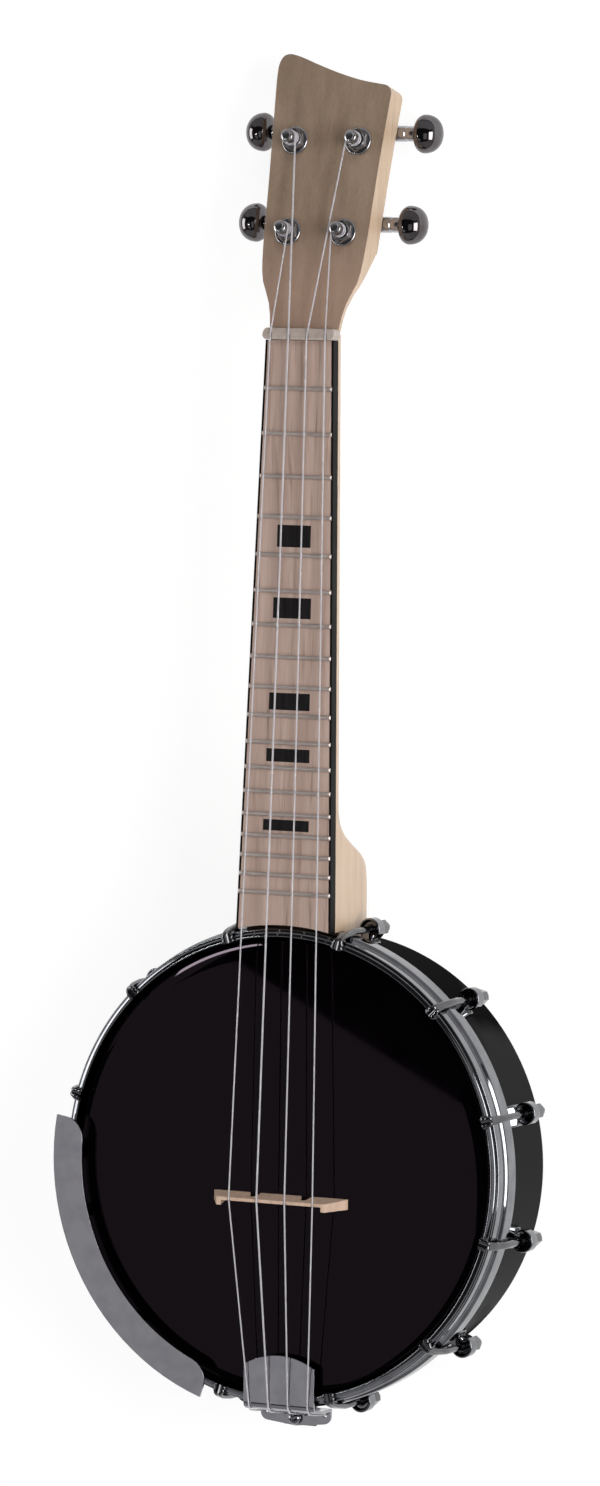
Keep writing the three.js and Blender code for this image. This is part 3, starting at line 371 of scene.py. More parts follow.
# Node trees


def emptied(owner: Material | bpy.types.World) -> bpy.types.NodeTree:
    """The node tree of a new material or world, with nothing in it.

    Args:
        owner: The material or world.

    Returns:
        Its tree.
    """
    owner.use_nodes = True
    owner.node_tree.nodes.clear()
    return owner.node_tree


class Graph:
    """Adds nodes to a node tree and joins their sockets."""

    def __init__(self, tree: bpy.types.NodeTree) -> None:
        """Works on one tree."""
        self.tree = tree

    def fill(self, node: Node, inputs: dict) -> None:
        """Joins sockets to a node's inputs, or sets the inputs to plain values.

        Args:
            node: The node.
            inputs: Values or sockets for its inputs, by name or number.
        """
        for key, value in inputs.items():
            if isinstance(value, Socket):
                self.tree.links.new(value, node.inputs[key])
            else:
                node.inputs[key].default_value = value

    def add(self, kind: str, inputs: dict | None = None, **settings: object) -> Node:
        """Adds a node.

        Args:
            kind: Blender's name for the node.
            inputs: Values or sockets for its inputs, by name or number.
            settings: Properties of the node.

        Returns:
            The node.
        """
        node = self.tree.nodes.new(kind)
        for key, value in settings.items():
            setattr(node, key, value)
        self.fill(node, inputs or {})
        return node

    def out(self, kind: str, inputs: dict | None = None, output: int | str = 0,
            **settings: object) -> Socket:
        """One output of a new node, the first one unless another is named."""
        return self.add(kind, inputs, **settings).outputs[output]

    def math(self, operation: str, first: object, second: object = 0.0) -> Socket:
        """The result of a sum on one or two values."""
        return self.out("ShaderNodeMath", {0: first, 1: second}, operation=operation)

    def plus(self, first: object, second: object) -> Socket:
        """Two values added."""
        return self.math("ADD", first, second)

    def times(self, first: object, second: object) -> Socket:
        """Two values multiplied."""
        return self.math("MULTIPLY", first, second)

    def vector(self, x: object = 0.0, y: object = 0.0, z: object = 0.0) -> Socket:
        """A vector put together from three values."""
        return self.out("ShaderNodeCombineXYZ", {0: x, 1: y, 2: z})

    def axis(self, vector: Socket, number: int) -> Socket:
        """One of a vector's three values."""
        return self.out("ShaderNodeSeparateXYZ", {0: vector}, number)

    def mix(self, share: object, first: object, second: object) -> Socket:
        """A colour between two colours."""
        return self.out("ShaderNodeMix", {0: share, 6: first, 7: second}, 2, data_type="RGBA")

    def spread(self, value: object, low: float, high: float, to_low: float = 0.0,
               to_high: float = 1.0) -> Socket:
        """A value carried from one span to another, and kept inside it.

        Args:
            value: The value.
            low: Start of its span.
            high: End of its span.
            to_low: Start of the new span.
            to_high: End of the new span.

        Returns:
            The new value's socket.
        """
        inputs = {0: value, 1: low, 2: high, 3: to_low, 4: to_high}
        return self.out("ShaderNodeMapRange", inputs)


def evaluated(item: Object) -> Mesh:
    """A new mesh with the result of an object's modifiers."""
    graph = bpy.context.evaluated_depsgraph_get()
    return bpy.data.meshes.new_from_object(item.evaluated_get(graph), depsgraph=graph)


def placed(name: str, data: bpy.types.ID) -> Object:
    """A new object in the scene.

    Args:
        name: Its name.
        data: Its mesh, light or camera.

    Returns:
        The object.
    """
    item = bpy.data.objects.new(name, data)
    bpy.context.scene.collection.objects.link(item)
    return item


class Recipe(Graph):
    """A geometry tree with named sizes, run on a shape to give a plain mesh."""

    def __init__(self, name: str, **sizes: str) -> None:
        """Starts the tree and names its inputs.

        Args:
            name: Name of the tree.
            sizes: Kind of socket for each named input.
        """
        super().__init__(bpy.data.node_groups.new(name, "GeometryNodeTree"))
        inputs = {"Geometry": "Geometry", **sizes, "Finish": "Material"}
        sockets = [(label, "INPUT", kind) for label, kind in inputs.items()]
        for label, way, kind in [*sockets, ("Geometry", "OUTPUT", "Geometry")]:
            self.tree.interface.new_socket(label, in_out=way, socket_type=f"NodeSocket{kind}")
        self.given = self.add("NodeGroupInput").outputs
        self.index = self.out("GeometryNodeInputIndex")

    def close(self, geometry: Socket) -> None:
        """Ends the tree: instances become real and get the finish.

        Args:
            geometry: What the tree has made.
        """
        real = self.out("GeometryNodeRealizeInstances", {0: geometry})
        finish = {"Geometry": real, "Material": self.given["Finish"]}
        self.add("NodeGroupOutput", {0: self.out("GeometryNodeSetMaterial", finish)})

    def scatter(self, points: Socket, instance: Socket, **fitted: Socket) -> None:
        """Ends the tree with a copy at every point, its rotation or scale fitted to it."""
        inputs = {"Points": points, "Instance": instance, **fitted}
        self.close(self.out("GeometryNodeInstanceOnPoints", inputs))

    def run(self, source: Mesh, **values: object) -> Mesh:
        """Runs the tree on a mesh.

        Args:
            source: The mesh that goes in.
            values: Values of the named inputs.

        Returns:
            The resulting mesh, with no modifier left.
        """
        carrier = placed(f"{self.tree.name}_carrier", source)
        modifier = carrier.modifiers.new(self.tree.name, "NODES")
        modifier.node_group = self.tree
        for item in self.tree.interface.items_tree:
            if item.in_out == "INPUT" and item.name in values:
                modifier[item.identifier] = values[item.name]
        made = evaluated(carrier)
        bpy.data.objects.remove(carrier)
        return made


class Turning(Recipe):
    """Turns a line of points, with X as radius and Z as height, round the Z axis."""

    def __init__(self) -> None:
        """Builds the tree: a grid laid over the line, once for each step of the turn."""
        super().__init__("turning", Steps="Int", Start="Float")
        line, steps = self.given["Geometry"], self.given["Steps"]
        rows = self.plus(steps, 1)
        size = self.out("GeometryNodeAttributeDomainSize", {0: line})
        grid = self.out("GeometryNodeMeshGrid", {2: size, 3: rows})
        along = self.math("FLOOR", self.math("DIVIDE", self.plus(self.index, 0.5), rows))
        around = self.math("SUBTRACT", self.index, self.times(along, rows))
        source = {0: line, 1: self.out("GeometryNodeInputPosition"), 2: along}
        point = self.out("GeometryNodeSampleIndex", source, data_type="FLOAT_VECTOR")
        radius, height = self.axis(point, 0), self.axis(point, 2)
        share = self.math("DIVIDE", around, steps)
        angle = self.plus(self.times(share, FULL_TURN), self.given["Start"])
        place = self.vector(self.times(radius, self.math("COSINE", angle)),
                            self.times(radius, self.math("SINE", angle)), height)
        wrapped = self.out("GeometryNodeSetPosition", {0: grid, 2: place})
        self.close(self.out("GeometryNodeMergeByDistance", {0: wrapped, "Distance": WELD}))


class RoundRow(Recipe):
    """Sets copies of a shape at even angles round the Z axis."""

    def __init__(self) -> None:
        """Builds the tree."""
        super().__init__("round_row", Count="Int", Start="Float")
        step = self.math("DIVIDE", FULL_TURN, self.given["Count"])
        angle = self.plus(self.times(self.index, step), self.given["Start"])
        self.scatter(self.out("GeometryNodePoints", {0: self.given["Count"]}),
                     self.given["Geometry"],
                     Rotation=self.out("FunctionNodeEulerToRotation", {0: self.vector(z=angle)}))


class FretRow(Recipe):
    """Sets a fret at every stop of the scale, as long as the board is wide there."""

    def __init__(self) -> None:
        """Builds the tree."""
        super().__init__("fret_row", Count="Int", Scale="Float", Half="Float", Growth="Float")
        spots = self.out("GeometryNodePoints", {0: self.given["Count"]})
        power = self.math("DIVIDE", self.plus(self.index, 1.0), -SEMITONES)
        rest = self.math("SUBTRACT", 1.0, self.math("POWER", 2.0, power))
        stop = self.times(self.given["Scale"], rest)
        place = self.vector(y=self.times(stop, -1.0))
        half = self.plus(self.given["Half"], self.times(stop, self.given["Growth"]))
        self.scatter(self.out("GeometryNodeSetPosition", {0: spots, 2: place}),
                     self.given["Geometry"], Scale=self.vector(half, 1.0, 1.0))


class Spots(Recipe):
    """Sets a copy of a small object at every point of a mesh, turned as the point says."""

    def __init__(self) -> None:
        """Builds the tree."""
        super().__init__("spots", Item="Object")
        item = self.out("GeometryNodeObjectInfo", {0: self.given["Item"]}, "Geometry")
        turn = self.out("GeometryNodeInputNamedAttribute", {"Name": "turn"},
                        data_type="FLOAT_VECTOR")
        self.scatter(self.given["Geometry"], item,
                     Rotation=self.out("FunctionNodeEulerToRotation", {0: turn}))


class Thread(Recipe):
    """Sweeps a round section along a line of points, as thick as each point says."""

    def __init__(self) -> None:
        """Builds the tree."""
        super().__init__("thread", Sides="Int")
        line = self.out("GeometryNodeMeshToCurve", {0: self.given["Geometry"]})
        section = self.out("GeometryNodeCurvePrimitiveCircle",
                           {"Resolution": self.given["Sides"], "Radius": 1.0})
        width = self.out("GeometryNodeInputNamedAttribute", {"Name": "thickness"},
                         data_type="FLOAT")
        inputs = {"Curve": line, "Profile Curve": section, "Scale": width, "Fill Caps": True}
        self.close(self.out("GeometryNodeCurveToMesh", inputs))


# Pieces


class Coat(NamedTuple):
    """A finish made into a material, and the record's slot that it belongs to."""

    material: Material
    slot: Slot


@dataclass
class Workshop:
    """The recipes, made once, and what turns shapes into finished pieces."""

    turning: Turning = field(default_factory=Turning)
    round_row: RoundRow = field(default_factory=RoundRow)
    fret_row: FretRow = field(default_factory=FretRow)
    spots: Spots = field(default_factory=Spots)
    thread: Thread = field(default_factory=Thread)

    def turned(self, profile: Sequence[Sequence[float]], steps: int, start: float = 0.0,
               base: float = 0.0) -> Shape:
        """A shape turned round the Z axis.

        Args:
            profile: Radius and height of each point, in order.
            steps: Steps round the turn.
            start: Angle of the first step.
            base: Level that the heights are measured from.

        Returns:
            The turned shape.
        """
        line = Shape([Vector((r, 0, base + z)) for r, z in profile]).mesh("profile")
        return Shape.of_mesh(self.turning.run(line, Steps=steps, Start=start))

    def piece(self, name: str, shape: Shape | Mesh, coat: Coat, place: Matrix = PART,
              body: str = "body", stands_for: Sequence[str] = (), sharp: float = 32.0,
              edge: float = 0.0, edge_steps: int = 2) -> None:
        """Turns a shape into a piece of the model.

        Args:
            name: The piece's name.
            shape: The shape or mesh, in millimetres.
            coat: Its material and slot.
            place: Frame that it is in, in millimetres.
            body: The body that it rides on.
            stands_for: CAD nodes that it stands for.
            sharp: Angle in degrees from which an edge stays sharp.
            edge: Rounding of its sharp edges, in millimetres, or zero.
            edge_steps: Segments of that rounding.
        """
        data = shape.mesh(name) if isinstance(shape, Shape) else shape
        data.name = name
        tidy(data, flat_joins=edge > 0)
        data.transform(place)
        data.transform(Matrix.Scale(MM, 4))
        piece = placed(name, data)
        if edge > 0:
            bevel = piece.modifiers.new("edge", "BEVEL")
            bevel.width, bevel.segments = edge * MM, edge_steps
            bevel.limit_method, bevel.angle_limit = "ANGLE", math.radians(sharp)
            bevel.harden_normals = False
        shade(piece, sharp)
        piece.data.materials.clear()
        piece.data.materials.append(coat.material)
        if stands_for:
            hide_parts(*stands_for)
        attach(piece, body)
        LOG.info("%s: %d faces", name, len(piece.data.polygons))


@contextmanager
def editing(data: Mesh) -> Iterator[bmesh.types.BMesh]:
    """Opens a mesh for editing, and writes it back at the end.

    Args:
        data: The mesh.

    Yields:
        What the edits are made on.
    """
    work = bmesh.new()
    work.from_mesh(data)
    yield work
    work.to_mesh(data)
    work.free()


def tidy(data: Mesh, flat_joins: bool) -> None:
    """Welds a mesh, turns its faces outwards and can join its flat faces.

    Args:
        data: The mesh, in millimetres.
        flat_joins: Whether triangles that lie in one plane become one face.
    """
    with editing(data) as work:
        bmesh.ops.remove_doubles(work, verts=work.verts, dist=WELD)
        if flat_joins:
            bmesh.ops.dissolve_limit(work, angle_limit=FLAT_ANGLE, verts=work.verts,
                                     edges=work.edges)
        bmesh.ops.recalc_face_normals(work, faces=work.faces)


def applied(piece: Object) -> None:
    """Puts the result of a piece's modifiers into its mesh."""
    piece.data = evaluated(piece)
    piece.modifiers.clear()


def shade(piece: Object, sharp: float) -> None:
    """Applies the modifiers, then shades smooth with crisp edges.

    Args:
        piece: The piece.
        sharp: Angle in degrees from which an edge stays sharp.
    """
    if piece.modifiers:
        applied(piece)
    name, limit = piece.name, math.radians(sharp)
    with editing(piece.data) as work:
        for face in work.faces:
            face.smooth = True
        for edge in work.edges:
            edge.smooth = len(edge.link_faces) == 2 and edge.calc_face_angle(0) < limit
    piece.modifiers.new("weight", "WEIGHTED_NORMAL").keep_sharp = True
    applied(piece)
    piece.data.name = name


def of_node(name: str) -> Shape:
    """The solid of a CAD node, in millimetres in the part's frame."""
    return Shape.of_mesh(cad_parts[name].data).moved(Matrix.Scale(1 / MM, 4))


def cut(shape: Shape, cutter: Shape) -> Shape:
    """One shape with another taken out of it.

    Args:
        shape: The shape that stays.
        cutter: The shape that is taken out.

    Returns:
        What is left.
    """
    pair = []
    for name, part in (("cut_body", shape), ("cutter", cutter)):
        data = part.mesh(name)
        tidy(data, flat_joins=False)
        pair.append(placed(name, data))
    body, tool = pair
    modifier = body.modifiers.new("cut", "BOOLEAN")
    modifier.operation, modifier.solver, modifier.object = "DIFFERENCE", "EXACT", tool
    left = Shape.of_mesh(evaluated(body))
    for item in pair:
        bpy.data.objects.remove(item)
    return left


def cross_cut(shape: Shape, slot: Shape) -> Shape:
    """A screw's head with a slot cut into it, and again across that."""
    return cut(cut(shape, slot), slot.moved(spin(QUARTER_TURN, "Z")))


# Finishes


class Pattern(NamedTuple):
    """Patches of noise.

    Their size is in millimetres, and grain says how much longer they are along the neck.
    Detail is the levels of finer noise, and the offset sets two alike patterns apart.
    """

    size: float
    detail: float
    grain: float = 1.0
    offset: float = 0.0


class Surface(Graph):
    """A new material with one shader, and the place on the piece that its patterns use."""

    def __init__(self, name: str) -> None:
        """Starts the material.

        Args:
            name: The material's name.
        """
        self.material = bpy.data.materials.new(name)
        super().__init__(emptied(self.material))
        self.shader = self.add("ShaderNodeBsdfPrincipled")
        self.add("ShaderNodeOutputMaterial", {"Surface": self.shader.outputs[0]})
        metres = self.out("ShaderNodeTexCoord", output="Object")
        self.place = self.out("ShaderNodeVectorMath", {0: metres, "Scale": 1 / MM},
                              operation="SCALE")

    def noise(self, pattern: Pattern, place: Socket | None = None) -> Socket:
        """Noise about a half.

        Args:
            pattern: The patches of the noise.
            place: Where the pattern is read, or none for the place on the piece.

        Returns:
            The value.
        """
        across, along = 1 / pattern.size, 1 / (pattern.size * pattern.grain)
        mapped = self.out("ShaderNodeMapping", {
            "Vector": place or self.place, "Location": (pattern.offset,) * 3,
            "Scale": (across, along, across),
        })
        inputs = {"Vector": mapped, "Scale": 1.0, "Detail": pattern.detail}
        return self.out("ShaderNodeTexNoise", inputs)

    def coat(self, slot: Slot, inputs: dict, height: Socket, depth: float,
             strength: float) -> Coat:
        """Ends the material.

        Args:
            slot: The record's slot that it belongs to.
            inputs: Values or sockets for the shader's inputs.
            height: Height of the relief, from 0 to 1.
            depth: Depth of the relief in millimetres.
            strength: Share of the relief that shows.

        Returns:
            The material with its slot.
        """
        relief = {"Height": height, "Distance": depth * MM, "Strength": strength}
        self.fill(self.shader, {**inputs, "Normal": self.out("ShaderNodeBump", relief)})
        return Coat(self.material, slot)


@dataclass(frozen=True)
class WoodFinish:
    """Lacquered wood with its grain along the neck.

    A span is the values of a noise between which its mark fades in, and relief is its depth
    in millimetres and the share of it that shows. The face is the headstock's front: its pale
    tone, its dark tone and its tone near the nut. These tones are darker than the rest of the
    wood partly as a veneer and partly as painted shade of the front face.
    """

    name: str
    pale: Colour
    dark: Colour
    vein: Colour
    band: float
    slot: Slot = Slot.PALE_WOOD
    contrast: float = 0.6
    vein_share: float = 0.35
    roughness: float = 0.42
    coat: float = 0.2
    coat_roughness: float = 0.22
    shine: float = 0.5
    band_detail: float = 2.0
    band_grain: float = 26.0
    band_span: Point2 = (0.32, 0.68)
    fibre: Pattern = Pattern(0.55, 3.0, 42.0, 31.0)
    streak: Pattern = Pattern(1.5, 4.0, 34.0, 73.0)
    streak_span: Point2 = (0.56, 0.74)
    streak_rough: float = 0.08
    sway: Pattern = Pattern(38.0, 1.0, 2.4)
    sway_reach: float = 9.0
    handling: Pattern = Pattern(14.0, 3.0, offset=11.0)
    handling_change: Point2 = (-0.04, 0.05)
    relief: Point2 = (0.03, 0.35)
    face: tuple[Colour, Colour, Colour] | None = None
    face_depth: Point2 = (0.45, 0.3)
    nut_reach: Point2 = (55.0, 15.0)

    def build(self) -> Coat:
        """Builds the material: growth bands, fibres and short dark veins."""
        g = Surface(self.name)
        bend = g.times(g.math("SUBTRACT", g.noise(self.sway), 0.5), self.sway_reach)
        waved = g.out("ShaderNodeVectorMath", {0: g.place, 1: g.vector(x=bend)}, operation="ADD")
        bands = g.noise(Pattern(self.band, self.band_detail, self.band_grain), waved)
        fibres = g.noise(self.fibre, waved)
        veins = g.spread(g.noise(self.streak, waved), *self.streak_span)
        tone = g.plus(g.times(g.spread(bands, *self.band_span), self.contrast),
                      g.times(g.spread(fibres, *NOISE_SPAN), 1 - self.contrast))
        drawn = g.times(veins, self.vein_share)
        colour = g.mix(drawn, g.mix(tone, self.pale, self.dark), self.vein)
        # Painted shade: the headstock's front face gets darker tones, partly its veneer and partly
        # the shade that falls on that face.
        if self.face:
            pale, dark, low = self.face
            face = g.mix(tone, pale, dark)
            face = g.mix(self.near_nut(g), face, g.mix(0.5, low, face))
            colour = g.mix(self.on_face(g), colour, g.mix(drawn, face, self.vein))
        patches = g.spread(g.noise(self.handling), *NOISE_SPAN, *self.handling_change)
        rough = g.plus(g.plus(patches, self.roughness), g.times(veins, self.streak_rough))
        return g.coat(self.slot, {
            "Base Color": colour, "Roughness": rough, "Coat Weight": self.coat,
            "Coat Roughness": self.coat_roughness, "Specular IOR Level": self.shine,
        }, g.math("SUBTRACT", fibres, veins), *self.relief)

    def near_nut(self, g: Surface) -> Socket:
        """One beside the nut, fading to zero halfway up the headstock."""
        nut = LAYOUT.headstock.translation.y
        return g.spread(g.axis(g.place, 1), *[nut + reach for reach in self.nut_reach])

    def on_face(self, g: Surface) -> Socket:
        """One on the headstock's front face and zero elsewhere.

        Args:
            g: The material's graph.

        Returns:
            The value.
        """
        up = (LAYOUT.headstock.to_3x3() @ Vector((0, 0, 1))).normalized()
        level = up.dot(LAYOUT.headstock.translation)
        height = g.out("ShaderNodeVectorMath", {0: g.place, 1: tuple(up)}, "Value",
                       operation="DOT_PRODUCT")
        return g.spread(height, *[level - depth for depth in self.face_depth])


@dataclass(frozen=True)
class ChromeFinish:
    """Plated metal, from a bright polish to a satin plate."""

    name: str
    tint: Colour
    dull: Colour
    roughness: float
    haze: float
    brushed: float = 0.0
    cloud: Pattern = Pattern(9.0, 4.0)
    cloud_span: Point2 = (0.4, 0.72)
    pits: Pattern = Pattern(0.35, 2.0, offset=17.0)
    pits_share: float = 0.15
    lines: Pattern = Pattern(0.12, 2.0, 60.0, 5.0)
    relief: Point2 = (0.02, 0.12)

    def build(self) -> Coat:
        """Builds the material."""
        g = Surface(self.name)
        cloud = g.noise(self.cloud)
        share = g.spread(cloud, *self.cloud_span)
        rough = g.plus(g.plus(g.times(share, self.haze), self.roughness),
                       g.times(g.noise(self.lines), self.brushed))
        return g.coat(Slot.CHROME, {
            "Metallic": 1.0, "Base Color": g.mix(share, self.tint, self.dull),
            "Roughness": rough,
        }, g.plus(cloud, g.times(g.noise(self.pits), self.pits_share)), *self.relief)


class Thinning(NamedTuple):
    """How a clear coat thins out along a piece, in millimetres from its middle."""

    low: float
    middle: float
    reach: float
    fade: float = 9.0
    ragged: float = 14.0
    edge: Pattern = Pattern(30.0, 1.0, offset=3.0)

    def weight(self, g: Surface, full: float) -> Socket:
        """Weight of the coat, with a ragged edge.

        Args:
            g: The material's graph.
            full: Weight at the middle.

        Returns:
            The weight.
        """
        away = g.math("ABSOLUTE", g.math("SUBTRACT", g.axis(g.place, 1), self.middle))
        ragged = g.spread(g.noise(self.edge), *NOISE_SPAN, -self.ragged, self.ragged)
        return g.spread(g.plus(away, ragged), self.reach + self.fade, self.reach - self.fade,
                        self.low, full)


@dataclass(frozen=True)
class GlossFinish:
    """Lacquer, plastic sheet or moulded plastic, with or without a clear coat over it."""

    name: str
    slot: Slot
    colour: Colour
    second: Colour
    roughness: float
    coat: float = 0.0
    coat_roughness: float = 0.04
    thinning: Thinning | None = None
    patch: float = 22.0
    patch_detail: float = 4.0
    tone_span: Point2 = (0.35, 0.7)
    rough_span: Point2 = (0.3, 0.75)
    rough_growth: Point2 = (1.5, 0.01)
    relief: float = 0.02
    relief_share: float = 0.25
    relief_size: float = 2.6
    relief_detail: float = 2.0
    relief_offset: float = 9.0
    specks: Pattern = Pattern(0.5, 2.0, offset=27.0)
    speck_span: Point2 = (0.6, 0.8)
    grit: float = 0.0
    shine: float = 0.5
    shine_tint: Colour = (1.0, 1.0, 1.0, 1.0)

    def build(self) -> Coat:
        """Builds the material."""
        g = Surface(self.name)
        cloud = g.noise(Pattern(self.patch, self.patch_detail))
        peel = g.noise(Pattern(self.relief_size, self.relief_detail, offset=self.relief_offset))
        specks = g.spread(g.noise(self.specks), *self.speck_span)
        factor, more = self.rough_growth
        rough = g.spread(cloud, *self.rough_span, self.roughness, self.roughness * factor + more)
        rough = g.plus(rough, g.times(specks, self.grit))
        coat = self.thinning.weight(g, self.coat) if self.thinning else self.coat
        return g.coat(self.slot, {
            "Base Color": g.mix(g.spread(cloud, *self.tone_span), self.colour, self.second),
            "Roughness": rough, "Coat Weight": coat, "Coat Roughness": self.coat_roughness,
            "Specular IOR Level": self.shine, "Specular Tint": self.shine_tint,
        }, peel, self.relief, self.relief_share)


@dataclass(frozen=True)
class NylonFinish:
    """Milky nylon that lets some light into it."""

    name: str
    colour: Colour
    second: Colour
    cloud: Pattern = Pattern(3.0, 2.0, 9.0)
    roughness: Point2 = (0.24, 0.36)
    clearness: float = 0.45
    bending: float = 1.53
    relief: Point2 = (0.02, 0.3)

    def build(self) -> Coat:
        """Builds the material."""
        g = Surface(self.name)
        cloud = g.noise(self.cloud)
        return g.coat(Slot.NYLON, {
            "Base Color": g.mix(cloud, self.colour, self.second),
            "Roughness": g.spread(cloud, *NOISE_SPAN, *self.roughness),
            "Transmission Weight": self.clearness, "IOR": self.bending,
        }, cloud, *self.relief)


class Finishes:
    """Every finish of the instrument, built once."""

    def __init__(self) -> None:
        """Builds the materials."""
        # The face tones are darker than the maple partly as a veneer and partly as painted shade
        # of the front face; they turn lighter and pinker towards the nut.
        self.neck = WoodFinish(
            "lacquered_maple", srgb(214, 188, 161), srgb(194, 166, 139), srgb(138, 106, 80),
            8.0, vein_share=0.42,
            face=(srgb(152, 131, 113), srgb(125, 106, 88), srgb(176, 144, 126))).build()
        # The board's greyer, darker tone than the neck is partly its own and partly painted shade
        # of the front faces.
        self.board = WoodFinish(
            "fingerboard_maple", srgb(187, 163, 151), srgb(161, 136, 124), srgb(110, 84, 73),
            5.0, Slot.BOARD_WOOD, vein_share=0.7, roughness=0.5, coat=0.05, shine=0.35).build()
        self.bridge = WoodFinish(
            "bridge_maple", srgb(212, 184, 163), srgb(188, 158, 137), srgb(146, 114, 94),
            3.0, roughness=0.5, coat=0.0).build()
        self.inlay = WoodFinish(
            "dark_inlay", srgb(34, 31, 33), srgb(15, 14, 15), srgb(5, 5, 5),
            1.4, Slot.BOARD_WOOD, vein_share=0.8, roughness=0.4, coat=0.0, shine=0.08).build()
        self.lacquer = GlossFinish(
            "black_lacquer", Slot.LACQUER, srgb(6, 6, 6), srgb(9, 9, 9), 0.3, coat=0.21,
            thinning=Thinning(0.035, -190.0, 66.0), relief_size=5.0, shine=0.0).build()
        self.skin = GlossFinish(
            "black_head", Slot.SKIN, srgb(2, 1, 2), srgb(3, 2, 3), 0.015, relief=0.001,
            relief_size=2.2, shine=0.155, shine_tint=(1.0, 0.76, 0.95, 1.0)).build()
        self.binding = GlossFinish("black_binding", Slot.PLASTIC, srgb(11, 10, 9),
                                   srgb(16, 14, 13), 0.3, relief=0.01, shine=0.06).build()
        self.bone = GlossFinish("nut_bone", Slot.BONE, srgb(178, 165, 157), srgb(161, 147, 138),
                                0.32, patch=4.0, grit=0.2).build()
        self.chrome = ChromeFinish(
            "chrome", srgb(134, 135, 138), srgb(114, 115, 119), 0.05, 0.04).build()
        self.hook_chrome = ChromeFinish(
            "hook_chrome", srgb(106, 106, 108), srgb(86, 86, 88), 0.06, 0.05).build()
        self.soft_chrome = ChromeFinish(
            "soft_chrome", srgb(176, 175, 177), srgb(150, 149, 151), 0.2, 0.06).build()
        self.plate = ChromeFinish(
            "satin_chrome", srgb(162, 161, 165), srgb(152, 151, 156), 0.11, 0.05, 0.03).build()
        self.dark_chrome = ChromeFinish(
            "smoked_chrome", srgb(110, 107, 109), srgb(92, 86, 86), 0.07, 0.05).build()
        self.nickel = ChromeFinish(
            "fret_nickel", srgb(208, 196, 190), srgb(190, 178, 172), 0.5, 0.08).build()
        self.string = NylonFinish(
            "nylon_string", srgb(226, 223, 227), srgb(208, 205, 209)).build()


@dataclass
class Assembly:
    """What every sub-assembly has: the workshop that makes its pieces, and the finishes."""

    shop: Workshop
    finishes: Finishes

    def dressed(self, node: str, name: str, coat: Coat, **edges: float) -> None:
        """Makes a piece of a CAD node's own solid, with finer edges."""
        self.shop.piece(name, of_node(node), coat, stands_for=[node], **edges)


# The pot


@dataclass
class Pot(Assembly):
    """The wooden rim, the head over its bearing edge, and the hoop that pulls it down."""

    height: float = 58.4
    crest: float = 94.2
    crown: float = 53.0
    crown_angle: float = 83.7
    collar_level: float = 51.0
    ring_low: float = 47.6
    hoop_inner: float = 103.1
    hoop_height: float = 16.6
    steps: int = 180

    def rim(self) -> None:
        """The rim, with its bearing edge crested near the inner wall."""
        outer, inner = LAYOUT.rim_outer, LAYOUT.rim_inner
        outline = filleted([
            (inner, 0, 1.6), (outer, 0, 1.6), (outer, self.height - 1.4, 1.4),
            (self.crest, self.height, 0.8), (inner, self.height - 3, 0.8),
        ])
        self.shop.piece("rim_shell", self.shop.turned([*outline, outline[0]], self.steps),
                        self.finishes.lacquer, LAYOUT.pot, stands_for=["rim"])

    def head(self) -> None:
        """The head: flat inside the crest, then falling to its collar and flesh ring."""
        crest, outer, crown = self.crest, LAYOUT.rim_outer, self.crown
        top = self.height + 1.0
        under = top - 0.7
        collar, low = self.collar_level, self.ring_low
        fall = [(r, z, 0.0) for r, z in arc((crest, top - crown), crown, 90, self.crown_angle, 7)]
        profile = filleted([
            (0, top, 0), *fall, (outer - 0.5, top - 0.43, 1.2), (outer + 1.2, top - 3.6, 0.8),
            (outer + 1.2, collar, 0), (outer + 3.6, collar, 1.1), (outer + 3.6, low, 1.1),
            (outer + 0.3, low, 0), (outer + 0.3, under - 2.2, 0.6), (crest, under, 0.6),
            (0, under, 0),
        ])
        self.shop.piece("head_skin", self.shop.turned(profile, self.steps), self.finishes.skin,
                        LAYOUT.pot, stands_for=["head"])

    def hoop(self) -> None:
        """The tension hoop: a crowned lip, a ledge, a wall and a sloped step to its foot."""
        top, inner, outer = LAYOUT.hoop_top, self.hoop_inner, LAYOUT.hoop_outer
        foot, seat, thick = top - self.hoop_height, top - 11.1, inner + 2.3
        lip = [(0, 0.5), (0.08, 0.2), (0.25, 0.04), (0.5, 0), (0.75, 0.04), (1.3, 0.2),
               (1.9, 0.42), (2.18, 0.6), (2.3, 0.85), (2.3, 1.5)]
        step = [(1.5, 7.4), (1.38, 7.7), (0.75, 8.2), (0.2, 8.8), (0, 9.15)]
        profile = [
            (inner, seat), *[(inner + out, top - down) for out, down in lip],
            *arc((outer - 2.0, top - 2.0), 0.5, 90, 0, 5),
            *[(outer - back, top - down) for back, down in step], (outer, foot + 0.5),
            *arc((outer - 0.5, foot + 0.5), 0.5, 0, -90, 4), (thick, foot), (thick, seat),
            (inner, seat),
        ]
        self.shop.piece("tension_hoop_ring", self.shop.turned(profile, self.steps),
                        self.finishes.chrome, LAYOUT.pot, stands_for=["tension_hoop"], sharp=40)

    def build(self) -> None:
        """Builds the pot."""
        self.rim()
        self.head()
        self.hoop()


